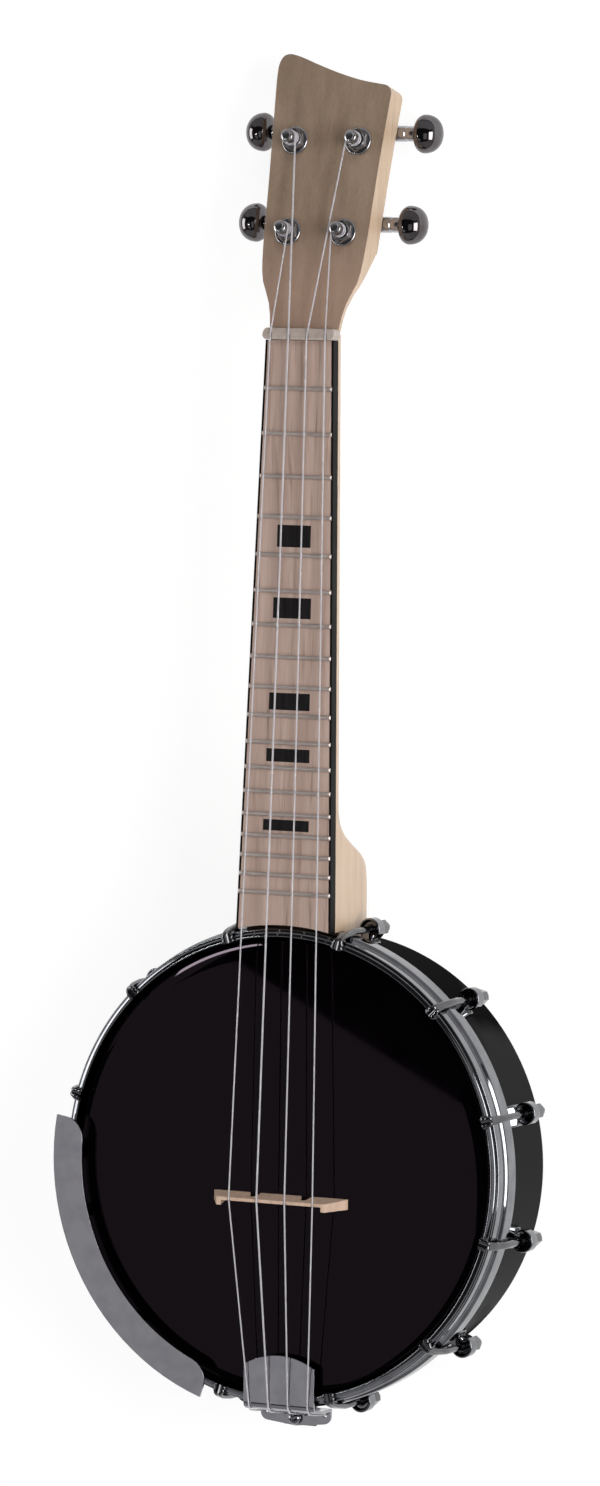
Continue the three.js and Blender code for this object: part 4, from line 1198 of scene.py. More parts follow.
@dataclass
class Tensioners(Assembly):
    """Twelve hooks over the hoop, each through a shoe bolted to the rim."""

    rod: float = 1.5
    rod_end: float = 24.0
    arm: float = 2.2
    arm_half: float = 2.2
    arm_start: float = 102.6
    arm_power: float = 2.4
    rod_power: float = 2.0
    tip_share: float = 0.8
    bend_reach: float = 5.1
    bend_drop: float = 16.0
    groove: float = 0.55
    groove_half: float = 0.75
    shoe_top: float = 33.4
    shoe_height: float = 6.2
    drum: float = 5.15
    bore: float = 1.75
    bolt_level: float = 31.05
    nut_radius: float = 3.6
    nut_height: float = 8.6

    def claw(self) -> Shape:
        """The claw: a two-lobed foot, a flat arm, and the bend down into the rod."""
        top = LAYOUT.hoop_top + LAYOUT.fit + self.arm
        outer = LAYOUT.hook_circle + self.rod
        turn = outer - self.bend_reach
        shares = [(0, 0), (0.3, 0.04), (0.55, 0.18), (0.75, 0.42), (0.92, 0.8), (1, 1)]
        bend = smooth_line([(turn + out * self.bend_reach, top - down * self.bend_drop)
                            for out, down in shares], 4)
        foot = [(0, 2.1), (0.25, 2.75), (0.7, 3.15), (1.3, 3.0), (1.9, 2.55), (2.4, 2.9),
                (2.9, 2.95), (3.5, 2.45), (4.2, self.arm_half)]
        line = [*[Vector((self.arm_start + step, top)) for step, _ in foot], *bend[1:],
                Vector((outer, self.shoe_top)), Vector((outer, self.rod_end))]
        rings = []
        for i, point in enumerate(line):
            down = normal(line, i)
            share = min(1.0, max(0.0, (i - len(foot)) / (len(bend) - 1)))
            thick = blend(self.arm, 2 * self.rod, share) * (1.0 if i else self.tip_share)
            wide = foot[i][1] if i < len(foot) else blend(self.arm_half, self.rod, share)
            power = blend(self.arm_power, self.rod_power, share)
            middle = point + down * (thick / 2)
            lobed = self.groove * min(1.0, max(0.0, 1.5 - 2 * share))
            ring = []
            for across, up in oval(wide, thick / 2, power, steps=28):
                dip = lobed * math.exp(-(across / self.groove_half) ** 2) if up > 0 else 0.0
                place = middle - down * (up - dip)
                ring.append(Vector((place.x, across, place.y)))
            rings.append(ring)
        return loft(rings)

    def nut(self) -> Shape:
        """The long nut under the shoe: six sides, a chamfered top and a domed end."""
        high = self.shoe_top - self.shoe_height - LAYOUT.fit
        low, r = high - self.nut_height, self.nut_radius
        hexagon = self.shop.turned([
            (0, low - 0.2), (r * 0.86, low - 0.2), (r, low + 0.5), (r, high - 0.5),
            (r * 0.88, high), (0, high),
        ], HEXAGON)
        tip = self.shop.turned([(0, -2.6), (1.1, -2.5), (2.1, -2.0), (2.7, -1.1), (2.9, -0.2),
                                (2.9, 0.3), (0, 0.3)], steps=24, base=low)
        collar = self.shop.turned([(0, -0.9), (3.3, -0.9), (3.3, -0.05), (0, -0.05)],
                                  steps=28, base=high)
        return hexagon.plus(tip, collar).moved(shift(LAYOUT.hook_circle))

    def shoe(self) -> Shape:
        """A dished drum, the stem that carries it, a pad on the rim and the bolt inside."""
        high, low = self.shoe_top, self.shoe_top - self.shoe_height
        drum, bore, dish = self.drum, self.bore, high - 1.6
        cup = self.shop.turned(filleted([
            (bore, low, 0.2), (drum, low, 1.0), (drum, high, 0.8), (drum - 1.1, high, 0.45),
            (drum - 1.5, dish, 0.4), (bore, dish, 0.2),
        ]) + [(bore + 0.1, low)], steps=48).moved(shift(LAYOUT.hook_circle))
        pad, inner = LAYOUT.rim_outer + LAYOUT.fit, LAYOUT.rim_inner - LAYOUT.fit
        stations = [
            (0.0, 4.4, 5.0, 0.0, 5.0), (0.25, 4.7, 5.2, 0.0, 5.0), (0.9, 4.9, 5.3, 0.0, 6.0),
            (1.1, 5.0, 5.2, 0.0, 7.0), (3.5, 5.0, 3.2, 0.0, 7.0), (3.8, 4.8, 2.95, 0.0, 6.0),
            (4.0, 3.3, 2.85, -0.1, 4.0), (6.2, 3.1, 2.7, -0.55, 4.0),
        ]
        stem = loft([[Vector((pad + out, across, self.bolt_level + lift + up))
                      for across, up in oval(wide, tall, power, steps=32)]
                     for out, wide, tall, lift, power in stations])
        along = shift(z=self.bolt_level) @ spin(QUARTER_TURN, "Y")
        head = self.shop.turned([(0, -2.6), (2.7, -2.6), (3.4, -2.0), (3.7, -1.0), (3.7, 0),
                                 (0, 0)], HEXAGON, base=inner)
        washer = self.shop.turned([(0, -0.5), (4.6, -0.5), (4.8, -0.3), (4.8, 0.25), (0, 0.25)],
                                  steps=32, base=inner)
        return cup.plus(stem, head.moved(along), washer.moved(along))

    def build(self) -> None:
        """Builds the hooks with their nuts, and the shoes."""
        count = LAYOUT.hook_count
        for kind, shape, coat in (
            ("hook", self.claw().plus(self.nut()), self.finishes.hook_chrome),
            ("shoe", self.shoe(), self.finishes.chrome),
        ):
            row = self.shop.round_row.run(shape.mesh(f"{kind}_row"), Finish=coat.material,
                                          Count=count, Start=FULL_TURN / count / 2 + QUARTER_TURN)
            self.shop.piece(f"{kind}_row", row, coat, LAYOUT.pot, sharp=38,
                            stands_for=[f"{kind}_{i + 1:02d}" for i in range(count)])


# The neck


@dataclass
class Neck(Assembly):
    """The neck with its headstock, the fingerboard and all that is let into it."""

    board_thickness: float = 5.0
    half_at_nut: float = 15.6
    half_at_pot: float = 22.256
    gap: float = 0.2
    binding: float = 0.9
    strip_steps: int = 12
    end_steps: int = 16
    arch_steps: int = 8
    fret_width: float = 1.9
    fret_reach: float = 1.045
    fret_root: float = -0.05
    fret_shoulder: float = 0.25
    fret_crown: float = 0.75
    corner_round: float = 3.6
    corner_steps: int = 7
    corner_least: float = 8.0
    corner_angle: float = 25.0
    corner_from: float = 100.0
    upright: float = 0.999
    inlay_span: Point2 = (-0.6, 0.03)
    inlays: tuple[Point3, ...] = (
        (5, 8.25, 0.58), (7, 9.3, 0.61), (10, 10.0, 0.6), (12, 10.65, 0.52), (15, 11.25, 0.52),
    )

    @property
    def growth(self) -> float:
        """How much the board's half width grows with each millimetre from the nut."""
        return (self.half_at_pot - self.half_at_nut) / LAYOUT.board_span

    def corners(self, work: bmesh.types.BMesh) -> list[bmesh.types.BMEdge]:
        """The upright edges at the headstock's top right corner.

        Args:
            work: The neck's mesh, in the part's frame.

        Returns:
            The edges.
        """
        back = LAYOUT.headstock.inverted()
        found = []
        for edge in work.edges:
            start, end = (back @ vert.co for vert in edge.verts)
            line = end - start
            upright = line.length > self.corner_least and (
                abs(line.normalized().z) > self.upright)
            sharp = edge.calc_face_angle(0) > math.radians(self.corner_angle)
            if upright and sharp and start.x > 0 and start.y > self.corner_from:
                found.append(edge)
        return found

    def wood(self) -> None:
        """The neck and headstock, the headstock's top right corner rounded."""
        data = of_node("neck").mesh("neck_wood")
        tidy(data, flat_joins=True)
        with editing(data) as work:
            flat = self.corners(work)
            ends = {vert for edge in flat for vert in edge.verts}
            short = {edge for vert in ends for edge in vert.link_edges
                     if edge not in flat and edge.other_vert(vert) in ends}
            bmesh.ops.collapse(work, edges=list(short))
            bmesh.ops.bevel(work, geom=self.corners(work), offset=self.corner_round,
                            segments=self.corner_steps, profile=0.5, affect="EDGES",
                            clamp_overlap=True)
        self.shop.piece("neck_wood", data, self.finishes.neck, stands_for=["neck"], sharp=34)

    def at_hoop(self, across: Sequence[float]) -> list[Point2]:
        """The board's end beside the hoop.

        Args:
            across: Distances from the middle line.

        Returns:
            A point at each of them.
        """
        reach, tilt = LAYOUT.hoop_outer + LAYOUT.fit, math.cos(math.radians(LAYOUT.neck_tilt))
        return [(x, -(LAYOUT.nut_from_pot - math.sqrt(reach ** 2 - x ** 2)) / tilt)
                for x in across]

    def strip(self) -> list[Point2]:
        """Outline of the strip to the right of the board, from the nut to the hoop."""
        left = self.half_at_pot + self.gap
        right, narrowing = left + self.binding, self.growth * LAYOUT.board_span
        end = [blend(left, right, i / self.strip_steps) for i in range(self.strip_steps + 1)]
        return [(left - narrowing, 0), *self.at_hoop(end), (right - narrowing, 0)]

    def board(self) -> None:
        """The board itself, and the frets in it."""
        end = [self.half_at_pot * (2 * i / self.end_steps - 1) for i in range(self.end_steps + 1)]
        outline = [(-self.half_at_nut, 0), *self.at_hoop(end), (self.half_at_nut, 0)]
        self.shop.piece("fingerboard_wood", extruded(outline, -self.board_thickness, 0),
                        self.finishes.board, LAYOUT.neck, stands_for=["fingerboard"])
        half, root = self.fret_width / 2, self.fret_root
        angles = [math.pi * i / self.arch_steps for i in range(self.arch_steps + 1)]
        arch = [(-half * math.cos(a), self.fret_shoulder + self.fret_crown * math.sin(a))
                for a in angles]
        section = [(-half, root), *arch, (half, root)]
        tip = [(-1.0, 0.25), (-0.985, 0.7), (-0.955, 1.0)]
        tips = [*tip, *[(-end, tall) for end, tall in reversed(tip)]]
        bar = loft([[Vector((end * self.fret_reach, y, root + (z - root) * tall))
                     for y, z in section] for end, tall in tips])
        nickel = self.finishes.nickel
        row = self.shop.fret_row.run(
            bar.mesh("fret"), Finish=nickel.material, Count=LAYOUT.fret_count,
            Scale=LAYOUT.scale_length, Half=self.half_at_nut - self.gap, Growth=self.growth)
        self.shop.piece("fret_row", row, nickel, LAYOUT.neck)

    def markers(self) -> None:
        """The dark wood rectangles let in between the frets."""
        total = Shape()
        for number, half, share in self.inlays:
            far, near = LAYOUT.fret_from_nut(number), LAYOUT.fret_from_nut(number - 1)
            outline = rectangle(half, (far - near) * share / 2, -(far + near) / 2)
            total = total.plus(extruded(outline, *self.inlay_span))
        self.shop.piece("position_markers", total, self.finishes.inlay, LAYOUT.neck)

    def build(self) -> None:
        """Builds the neck."""
        self.wood()
        self.board()
        self.markers()
        right, left = (extruded([(side.value * x, y) for x, y in self.strip()],
                                -self.board_thickness, 0) for side in (Side.RIGHT, Side.LEFT))
        self.shop.piece("binding_strips", right.plus(left), self.finishes.binding, LAYOUT.neck,
                        stands_for=["binding"], edge=0.12)
        self.dressed("nut", "nut_bar", self.finishes.bone, edge=0.2)


# Tuning machines


@dataclass
class Tuners(Assembly):
    """Four geared tuning machines, numbered in string order."""

    upper: Point2 = (15.6, 85.5)
    lower: Point2 = (13.6, 43.7)
    gear_offset: float = 8.0
    gear_depth: float = 4.0
    gear_half: float = 1.5
    collar_end: float = 19.6
    button_radius: float = 8.75
    button_length: float = 12.3
    flat: float = 0.9
    waist: float = 2.3
    bore: float = 3.2
    case_depth: float = 8.2
    case_centre: Point2 = (-0.15, 2.9)
    case_half: Point2 = (7.4, 9.7)
    case_round: float = 3.6
    ear_round: float = 2.9
    screw_place: Point2 = (-7.4, 2.1)
    screw_turn: float = 0.4

    @property
    def level(self) -> float:
        """Height of the gear shaft in the headstock's frame."""
        return -(LAYOUT.head_thickness + self.gear_depth)

    @property
    def places(self) -> list[tuple[Side, float, float]]:
        """Side, distance across and distance along of each machine, in string order."""
        return [(Side.LEFT, *self.lower), (Side.LEFT, *self.upper),
                (Side.RIGHT, *self.upper), (Side.RIGHT, *self.lower)]

    @property
    def frames(self) -> list[Matrix]:
        """Frame of each machine, with X pointing out to its button."""
        return [LAYOUT.headstock @ shift(side.value * across, along)
                @ Matrix.Diagonal((side.value, 1, 1, 1)) for side, across, along in self.places]

    @property
    def to_shaft(self) -> Matrix:
        """Turns a shape that stands on Z onto the gear shaft, pointing out."""
        return shift(y=self.gear_offset, z=self.level) @ spin(QUARTER_TURN, "Y")

    def button(self) -> Shape:
        """The button: a plump knob, a little flat, on its shaft and worm."""
        start = self.collar_end + 0.4
        shares = [(0.3, 0), (0.62, 0.03), (0.86, 0.12), (0.98, 0.26), (1, 0.38), (0.96, 0.56),
                  (0.84, 0.74), (0.62, 0.89), (0.34, 0.97), (0, 1)]
        line = smooth_line([(r * self.button_radius, start + z * self.button_length)
                            for r, z in shares], 4)
        knob = self.shop.turned([(0, start), *[(max(p.x, 0), p.y) for p in line]], steps=56)
        shaft = self.shop.turned([
            (0, -5.4), (2.2, -5.4), (2.7, -4.9), (2.7, 4.9), (2.2, 5.4), (1.5, 5.4),
            (1.5, start + 2), (0, start + 2),
        ], steps=24)
        return knob.moved(Matrix.Diagonal((self.flat, 1, 1, 1))).plus(shaft).moved(self.to_shaft)

    def post(self) -> Shape:
        """The post: foot gear, shank, waist for the string and a domed top."""
        low, high, waist = self.level - self.gear_half, self.level + self.gear_half, self.waist
        return self.shop.turned([
            (0, low - 1.5), (1.6, low - 1.5), (1.6, low), (4.5, low), (4.8, low + 0.3),
            (4.8, high - 0.3), (4.5, high), (2.9, high), (2.9, 2.7), (2.75, 3.1), (waist, 3.7),
            (waist, 7.1), (2.75, 7.5), (2.9, 7.9), (2.9, 9.2), (2.78, 9.65), (2.45, 9.95),
            (1.9, 10.1), (1.75, 10.32), (1.2, 10.4), (0, 10.4),
        ], steps=40)

    def bushing(self) -> Shape:
        """The bushing: a sleeve in the wood, a washer and a hexagonal nut on the face."""
        bore = self.bore
        thread = bore + 0.2
        washer = self.shop.turned([
            (bore, -9), (4.6, -9), (4.6, 0.2), (6.1, 0.2), (6.3, 0.4), (6.3, 0.75), (6.1, 1.1),
            (5.7, 1.3), (bore, 1.3), (bore, -9),
        ], steps=48)
        nut = self.shop.turned([
            (thread, 0.9), (5.5, 0.9), (5.5, 2.55), (5.05, 3.1), (bore + 0.9, 3.1),
            (thread, 2.6), (thread, 0.9),
        ], HEXAGON, math.pi / 6)
        lip = self.shop.turned([
            (bore, 1.0), (bore + 0.95, 1.0), (bore + 0.95, 3.0), (bore + 0.75, 3.25),
            (thread, 3.25), (bore, 3.05), (bore, 1.0),
        ], steps=40)
        return washer.plus(nut, lip)

    def housing(self) -> Shape:
        """The sealed gear case, its ear, and the collar that the shaft comes out of."""
        top = -(LAYOUT.head_thickness + LAYOUT.fit)
        low = top - self.case_depth
        (middle_x, middle_y), (half_x, half_y) = self.case_centre, self.case_half
        case = filleted([(x, y, self.case_round) for x, y in (
            (7.3, -6.8), (7.3, 12.6), (-7.6, 12.6), (-7.6, -6.8))], steps=8)
        rings = [[Vector((middle_x + (x - middle_x) * (1 - inset / half_x),
                          middle_y + (y - middle_y) * (1 - inset / half_y), level))
                  for x, y in case]
                 for level, inset in ((top, 0.0), (low + 1.6, 0.0), (low + 0.7, 0.35),
                                      (low + 0.2, 1.0), (low, 1.9))]
        ear = filleted([(3, -10.4, self.ear_round), (3, -5, 0), (-3, -5, 0),
                        (-3, -10.4, self.ear_round)], steps=8)
        end = self.collar_end
        collar = self.shop.turned([
            (0, 3.7), (3.65, 3.7), (3.62, 8.2), (3.45, 8.5), (3.45, 9.1), (3.6, 9.4),
            (3.55, 15.2), (3.3, 15.5), (3.3, 16.1), (3.5, 16.4), (3.45, end - 0.4), (3.25, end),
            (0, end),
        ], steps=36).moved(self.to_shaft)
        return loft(rings).plus(extruded(ear, top - 1.8, top), collar)

    def screws(self) -> None:
        """One small round-headed screw through the ear of each case, its head to the back."""
        head = self.shop.turned([(0, -0.2), (1.9, -0.2), (1.9, 0.15), (1.6, 0.6), (0.95, 0.9),
                                 (0, 1.0)], steps=28)
        screw = cross_cut(head, extruded(rectangle(1.15, 0.22), 0.45, 2))
        item = bpy.data.objects.new("screw_item", screw.mesh("screw_item"))
        along, below = self.screw_place
        spot = Vector((0, along, -(LAYOUT.head_thickness + below)))
        spots = Shape([where @ spot for where in self.frames]).mesh("screw_spots")
        tilt = math.radians(-(LAYOUT.neck_tilt + LAYOUT.head_tilt))
        turns = spots.attributes.new("turn", "FLOAT_VECTOR", "POINT")
        for i, entry in enumerate(turns.data):
            entry.vector = (math.pi + tilt, 0, self.screw_turn + i)
        chrome = self.finishes.chrome
        row = self.shop.spots.run(spots, Finish=chrome.material, Item=item)
        bpy.data.objects.remove(item)
        self.shop.piece("case_screws", row, chrome)

    def build(self) -> None:
        """Builds the machines: the still pieces in rows, each button and post by itself."""
        soft, frames = self.finishes.soft_chrome, self.frames
        for kind, shape in (("bushing", self.bushing()), ("housing", self.housing())):
            row = Shape().plus(*[shape.moved(where) for where in frames])
            self.shop.piece(f"tuner_{kind}_row", row, soft, sharp=36,
                            stands_for=[f"tuner_{kind}_{i + 1}" for i in range(len(frames))])
        self.screws()
        button, post = self.button(), self.post()
        for i, where in enumerate(frames, 1):
            for name, kind, shape, coat in (
                ("button_knob", "button", button, self.finishes.dark_chrome),
                ("post_turned", "post", post, soft),
            ):
                self.shop.piece(f"{name}_{i}", shape, coat, where, body=f"{kind}_{i}",
                                stands_for=[f"tuner_{kind}_{i}"])


# Strings, bridge, tailpiece


@dataclass
class Strings(Assembly):
    """Four nylon strings from the tailpiece to their posts, and the bridge under them."""

    tuners: Tuners
    diameters: tuple[float, ...] = (0.68, 0.86, 0.74, 0.68)
    sides: int = 12
    nut_spacing: float = 9.0
    nut_height: float = 1.6
    nut_crest: float = 0.34
    nut_flat: float = 0.2
    bridge_spacing: float = 13.8
    bridge_line: float = -14.5
    bridge_top: float = 70.8
    bridge_notch: float = 0.6
    tail_spacing: float = 9.695
    tail_shift: float = 2.6
    tail_wall: float = -110.1
    tail_top: float = 64.1
    tail_bend: Point2 = (4.4, 9.5)
    flange: float = 45.9
    flange_thickness: float = 1.3
    hole_back: float = 1.6
    knot: float = 2.4
    winding_turns: float = 2.25
    winding_pitch: float = 1.45
    winding_start: float = 6.9
    turn_steps: int = 32

    def behind_bridge(self, tail_x: float, radius: float) -> list[Point3]:
        """The knot of a string and its way up and over the tailpiece's bend.

        Args:
            tail_x: The string's place across the tailpiece.
            radius: The string's radius.

        Returns:
            Points in the pot's frame.
        """
        lift, knot, hole = radius + LAYOUT.fit, radius * self.knot, self.tail_wall - self.hole_back
        low = self.flange - self.flange_thickness - LAYOUT.fit - knot
        levels = (low - knot, low - radius, low + radius, low + knot, self.flange)
        run, drop = self.tail_bend
        shares = [(0, 0), (0.35, 0.04), (0.62, 0.14), (0.78, 0.3), (1, 1)]
        bend = [Vector((self.tail_wall + run * (1 - out), self.tail_top - drop * down))
                for out, down in shares]
        over = [here + normal(bend, k) * lift for k, here in enumerate(bend)]
        return [*[(tail_x, hole, level) for level in levels],
                *[(tail_x, y, z) for y, z in smooth_line(over[::-1], 3)]]

    def route(self, i: int) -> tuple[list[Vector], list[float]]:
        """The line of one string, knot first.

        Args:
            i: The string, from the left of the nut.

        Returns:
            Its points in the part's frame, and its radius at each of them.
        """
        radius, share = self.diameters[i] / 2, i - 1.5
        lift, knot = radius + LAYOUT.fit, radius * self.knot
        points = [*self.behind_bridge(self.tail_shift + share * self.tail_spacing, radius),
                  (share * self.bridge_spacing, self.bridge_line,
                   self.bridge_top - self.bridge_notch + lift)]
        line = [LAYOUT.pot @ Vector(p) for p in points]
        crest = LAYOUT.nut_length * self.nut_crest
        line += [LAYOUT.neck @ Vector((share * self.nut_spacing, y, self.nut_height + lift))
                 for y in (crest - self.nut_flat, crest + self.nut_flat)]
        line += self.winding(i, line[-1], lift)
        radii = [radius / 2, knot, knot, radius, radius]
        return line, radii + [radius] * (len(line) - len(radii))

    def winding(self, i: int, leave: Vector, lift: float) -> list[Vector]:
        """The turns of a string round its post.

        Args:
            i: The string.
            leave: Where the string leaves the nut, in the part's frame.
            lift: Height of the string's middle over what it lies on.

        Returns:
            Points in the part's frame.
        """
        side, across, along = self.tuners.places[i]
        start = LAYOUT.headstock.inverted() @ leave
        centre = Vector((side.value * across, along))
        radius = self.tuners.waist + lift
        path = centre - start.xy
        forward = path.normalized()
        inward = Vector((-forward.y, forward.x)) * side.value
        sine = radius / path.length
        touch = -sine * forward + inward * math.sqrt(1 - sine ** 2)
        angle = math.atan2(touch.y, touch.x)
        points = []
        for k in range(round(self.winding_turns * self.turn_steps) + 1):
            turn = k / self.turn_steps
            here = angle - side.value * FULL_TURN * turn
            points.append(LAYOUT.headstock @ Vector((
                centre.x + radius * math.cos(here), centre.y + radius * math.sin(here),
                self.winding_start - self.winding_pitch * turn)))
        return points

    def build(self) -> None:
        """Builds the bridge and the strings."""
        self.dressed("bridge", "bridge_wood", self.finishes.bridge, edge=0.18)
        nylon = self.finishes.string
        for i in range(len(self.diameters)):
            line, radii = self.route(i)
            data = bpy.data.meshes.new(f"string_line_{i + 1}")
            data.from_pydata([tuple(p) for p in line],
                             [(k, k + 1) for k in range(len(line) - 1)], [])
            data.attributes.new("thickness", "FLOAT", "POINT").data.foreach_set("value", radii)
            tube = self.shop.thread.run(data, Finish=nylon.material, Sides=self.sides)
            self.shop.piece(f"string_nylon_{i + 1}", tube, nylon,
                            stands_for=[f"string_{i + 1}"], sharp=60)


@dataclass
class TailEnd(Assembly):
    """The bent tailpiece, its bracket and bolts."""

    slot_turn: float = 0.5

    def build(self) -> None:
        """Builds the tail end."""
        self.dressed("tailpiece", "tailpiece_plate", self.finishes.plate, edge=0.3, edge_steps=3)
        self.dressed("tail_bracket", "bracket_bent", self.finishes.chrome, edge=0.3)
        self.hanger()
        self.dressed("tail_bolt", "tail_bolt_dome", self.finishes.chrome, sharp=40)

    def hanger(self) -> None:
        """The bolt that draws the tailpiece down: a cross in its head, a nut below."""
        low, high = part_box("hanger_bolt")
        bottom, top = low.z / MM, high.z / MM
        bolt = self.shop.turned([
            (0, bottom), (1.2, bottom), (1.5, bottom + 0.3), (1.5, top - 2.6), (2.8, top - 2.6),
            (3.0, top - 2.35), (3.0, top - 1.5), (2.65, top - 0.75), (1.9, top - 0.22),
            (0.9, top), (0, top),
        ], steps=36)
        slot = extruded(rectangle(1.7, 0.32), top - 0.9, top + 1)
        bolt = cross_cut(bolt, slot.moved(spin(self.slot_turn, "Z")))
        nut = self.shop.turned([(0, 0), (2.6, 0), (3.0, 0.4), (3.0, 2.2), (2.6, 2.6), (0, 2.6)],
                               HEXAGON, base=bottom + 0.3)
        place = shift((low.x + high.x) / 2 / MM, (low.y + high.y) / 2 / MM)
        self.shop.piece("hanger_bolt_cross", bolt.plus(nut), self.finishes.chrome, place,
                        stands_for=["hanger_bolt"])


@dataclass
class Rod(Assembly):
    """The coordinator rod through the pot, and the nut that sets it to the neck."""

    def build(self) -> None:
        """Builds the rod and its nut."""
        self.dressed("coordinator_rod", "rod_steel", self.finishes.chrome, sharp=40)
        self.dressed("rod_nut", "rod_nut_hex", self.finishes.chrome, edge=0.35)


@dataclass
class Armrest(Assembly):
    """The curved plate over the hoop, on two legs."""

    def build(self) -> None:
        """Builds the armrest."""
        self.dressed("armrest", "armrest_plate", self.finishes.plate, edge=0.35, edge_steps=3)


# The studio


def sheet(name: str, size: Point2, place: Matrix, material: Material) -> Object:
    """A flat sheet of the studio.

    Args:
        name: Its name.
        size: Its width and depth in metres.
        place: Its middle and the way it faces.
        material: Its material.

    Returns:
        The sheet.
    """
    wide, deep = size
    corners = [place @ Vector((x, y, 0)) for x, y in rectangle(wide / 2, deep / 2)]
    data = Shape(corners, [(0, 1, 2, 3)]).mesh(name)
    data.materials.append(material)
    item = placed(name, data)
    return item


@dataclass(frozen=True)
class Card:
    """A glowing card that only shiny faces show, in metres, turned in degrees round an axis."""

    name: str
    centre: Point3
    size: Point2
    glow: float
    turn: float = 0.0
    axis: str = "Z"
    colour: Colour = (0.98, 0.97, 1.0, 1.0)

    def build(self) -> None:
        """Hangs the card up."""
        material = bpy.data.materials.new(self.name)
        g = Graph(emptied(material))
        light = g.out("ShaderNodeEmission", {"Color": self.colour, "Strength": self.glow})
        g.add("ShaderNodeOutputMaterial", {"Surface": light})
        place = Matrix.Translation(self.centre) @ spin(math.radians(self.turn), self.axis)
        item = sheet(self.name, self.size, place, material)
        item.visible_camera = item.visible_diffuse = item.visible_shadow = False


@dataclass(frozen=True)
class Lamp:
    """A soft box that points at the object: its place and size in metres, its power in watts."""

    name: str
    place: Point3
    size: Point2
    power: float
    mirrored: bool = True

    def build(self) -> None:
        """Sets up the lamp, which shiny faces show if it is mirrored."""
        light = bpy.data.lights.new(self.name, "AREA")
        light.shape = "RECTANGLE"
        light.size, light.size_y = self.size
        light.energy = self.power
        item = placed(self.name, light)
        item.location = self.place
        item.rotation_mode = "QUATERNION"
        item.rotation_quaternion = (-Vector(self.place)).to_track_quat("-Z", "Y")
        item.visible_glossy = self.mirrored


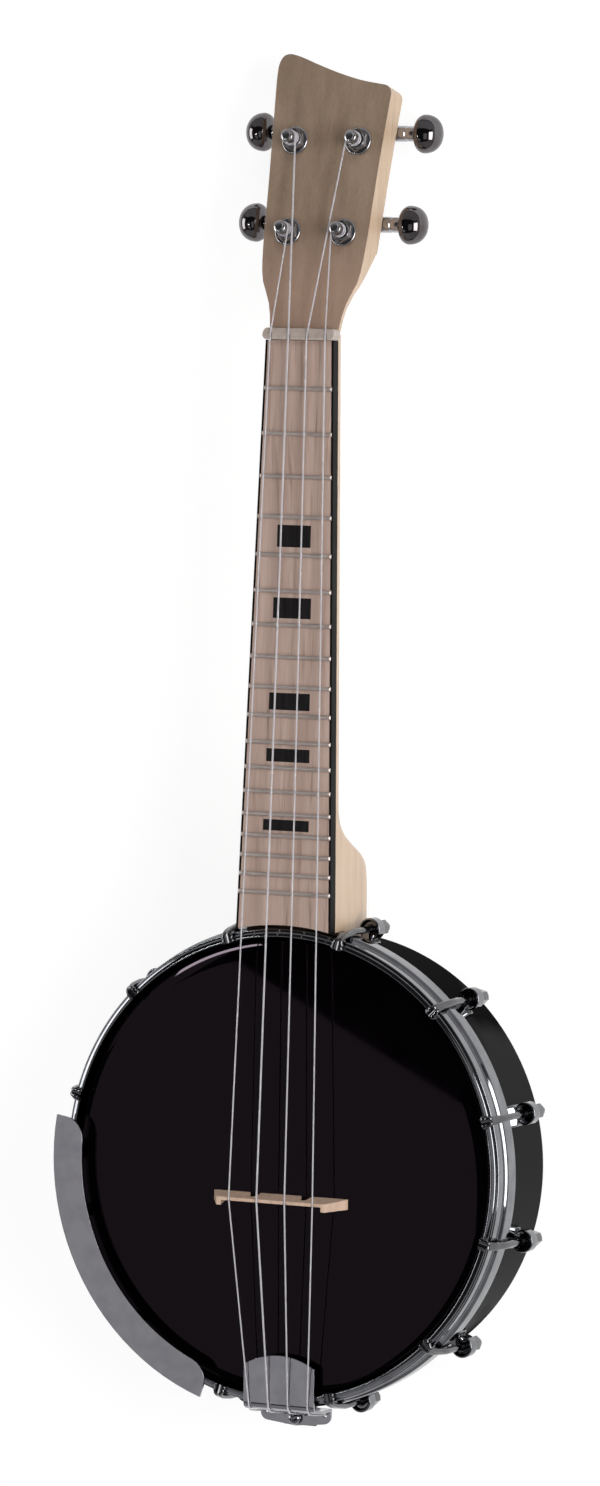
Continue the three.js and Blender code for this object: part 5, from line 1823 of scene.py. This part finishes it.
@dataclass
class Studio:
    """Floor, world, cards, lamps and the camera."""

    floor_size: Point2 = (60.0, 60.0)
    floor_grey: float = 0.8
    floor_seen: float = 0.2
    floor_glow: float = 0.87
    horizon: Colour = (0.1, 0.1, 0.105, 1.0)
    horizon_span: Point2 = (0.16, 0.5)
    sides: float = 0.5
    side_span: Point2 = (0.6, 0.9)
    left_share: float = 0.6
    overhead: Colour = (0.03, 0.03, 0.032, 1.0)
    camera_place: Point3 = (1.52209, 0.22119, 3.22806)
    camera_forward: Point3 = (-0.43103, -0.06255, -0.90017)
    camera_up: Point3 = (-0.04428, 0.99786, -0.04813)
    camera_lens: float = 191.95
    camera_sensor: float = 36.0
    camera_reach: Point2 = (0.05, 100.0)
    cards: tuple[Card, ...] = (
        Card("grey_card", (-0.8, -0.4733, 1.559), (0.80, 0.44), 0.57, -26.9),
        Card("strip_card", (-0.93, 0.05, 1.6), (0.24, 0.08), 28.0, 22.0,
             colour=(0.94, 1.0, 0.95, 1.0)),
        Card("edge_card", (-1.07, -0.09, 1.62), (0.38, 0.2), 0.57),
        Card("top_card", (0.68, -0.1, 2.2), (0.9, 1.3), 0.5),
        Card("back_wall", (0.0, 3.0, 2.1), (9.0, 3.6), 0.4, 90.0, "X"),
        Card("front_wall", (0.0, -3.0, 2.1), (9.0, 3.6), 0.4, 90.0, "X"),
    )
    lamps: tuple[Lamp, ...] = (
        Lamp("key_right", (1.69, 0.04, 1.2), (1.5, 0.95), 36.5),
        Lamp("fill_left", (-1.9, 0.1, 0.9), (1.5, 0.7), 15.0),
        Lamp("back_top", (0.3, 2.1, 1.5), (1.2, 0.8), 17.0, mirrored=False),
        Lamp("front_low", (0.2, -2.0, 1.3), (1.4, 0.7), 17.0, mirrored=False),
    )

    def floor(self) -> None:
        """A plain pale floor that keeps the object's shadow."""
        material = bpy.data.materials.new("pale_floor")
        g = Graph(emptied(material))
        path = g.add("ShaderNodeLightPath").outputs
        seen = g.math("MAXIMUM", path["Is Camera Ray"], g.math(
            "MAXIMUM", path["Is Glossy Ray"], path["Is Transmission Ray"]))
        plain = g.out("ShaderNodeBsdfDiffuse", {"Color": grey(self.floor_grey)})
        shaded = g.out("ShaderNodeBsdfDiffuse", {"Color": grey(self.floor_seen)})
        glow = g.out("ShaderNodeEmission", {"Color": grey(1.0), "Strength": self.floor_glow})
        bright = g.out("ShaderNodeAddShader", {0: shaded, 1: glow})
        both = g.out("ShaderNodeMixShader", {0: seen, 1: plain, 2: bright})
        g.add("ShaderNodeOutputMaterial", {"Surface": both})
        sheet("floor", self.floor_size, PART, material)

    def world(self) -> None:
        """A world that is pale near the horizon, most at its sides, and dim overhead."""
        world = bpy.data.worlds.new("studio")
        g = Graph(emptied(world))
        direction = g.out("ShaderNodeTexCoord", output="Generated")
        across, height = g.axis(direction, 0), g.axis(direction, 2)
        start, end = self.side_span
        beside = g.plus(g.spread(across, start, end),
                        g.spread(across, -start, -end, 0.0, self.left_share))
        low = g.mix(beside, self.horizon, grey(self.sides))
        colour = g.mix(g.spread(height, *self.horizon_span), low, self.overhead)
        back = g.out("ShaderNodeBackground", {"Color": colour, "Strength": 1.0})
        g.add("ShaderNodeOutputWorld", {"Surface": back})
        bpy.context.scene.world = world

    def camera(self) -> None:
        """The camera, where the photograph was taken from."""
        lens = bpy.data.cameras.new("camera")
        lens.lens, lens.sensor_width = self.camera_lens, self.camera_sensor
        lens.clip_start, lens.clip_end = self.camera_reach
        forward = Vector(self.camera_forward)
        right = forward.cross(Vector(self.camera_up)).normalized()
        turn = Matrix((right, right.cross(forward), -forward)).transposed().to_4x4()
        item = placed("camera", lens)
        item.matrix_world = Matrix.Translation(self.camera_place) @ turn
        bpy.context.scene.camera = item

    def build(self) -> None:
        """Builds the studio."""
        self.floor()
        self.world()
        for fitting in (*self.cards, *self.lamps):
            fitting.build()
        self.camera()
        bpy.context.scene.view_settings.view_transform = "Standard"


def main() -> None:
    """Builds every sub-assembly and then the studio."""
    logging.basicConfig(level=logging.INFO, format="%(name)s %(message)s")
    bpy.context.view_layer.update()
    tools = Workshop(), Finishes()
    tuners = Tuners(*tools)
    for part in (
        Pot(*tools), Tensioners(*tools), Neck(*tools), tuners, Strings(*tools, tuners),
        TailEnd(*tools), Rod(*tools), Armrest(*tools),
    ):
        LOG.info("building %s", type(part).__name__)
        part.build()
    Studio().build()


if __name__ == "__main__":
    main()
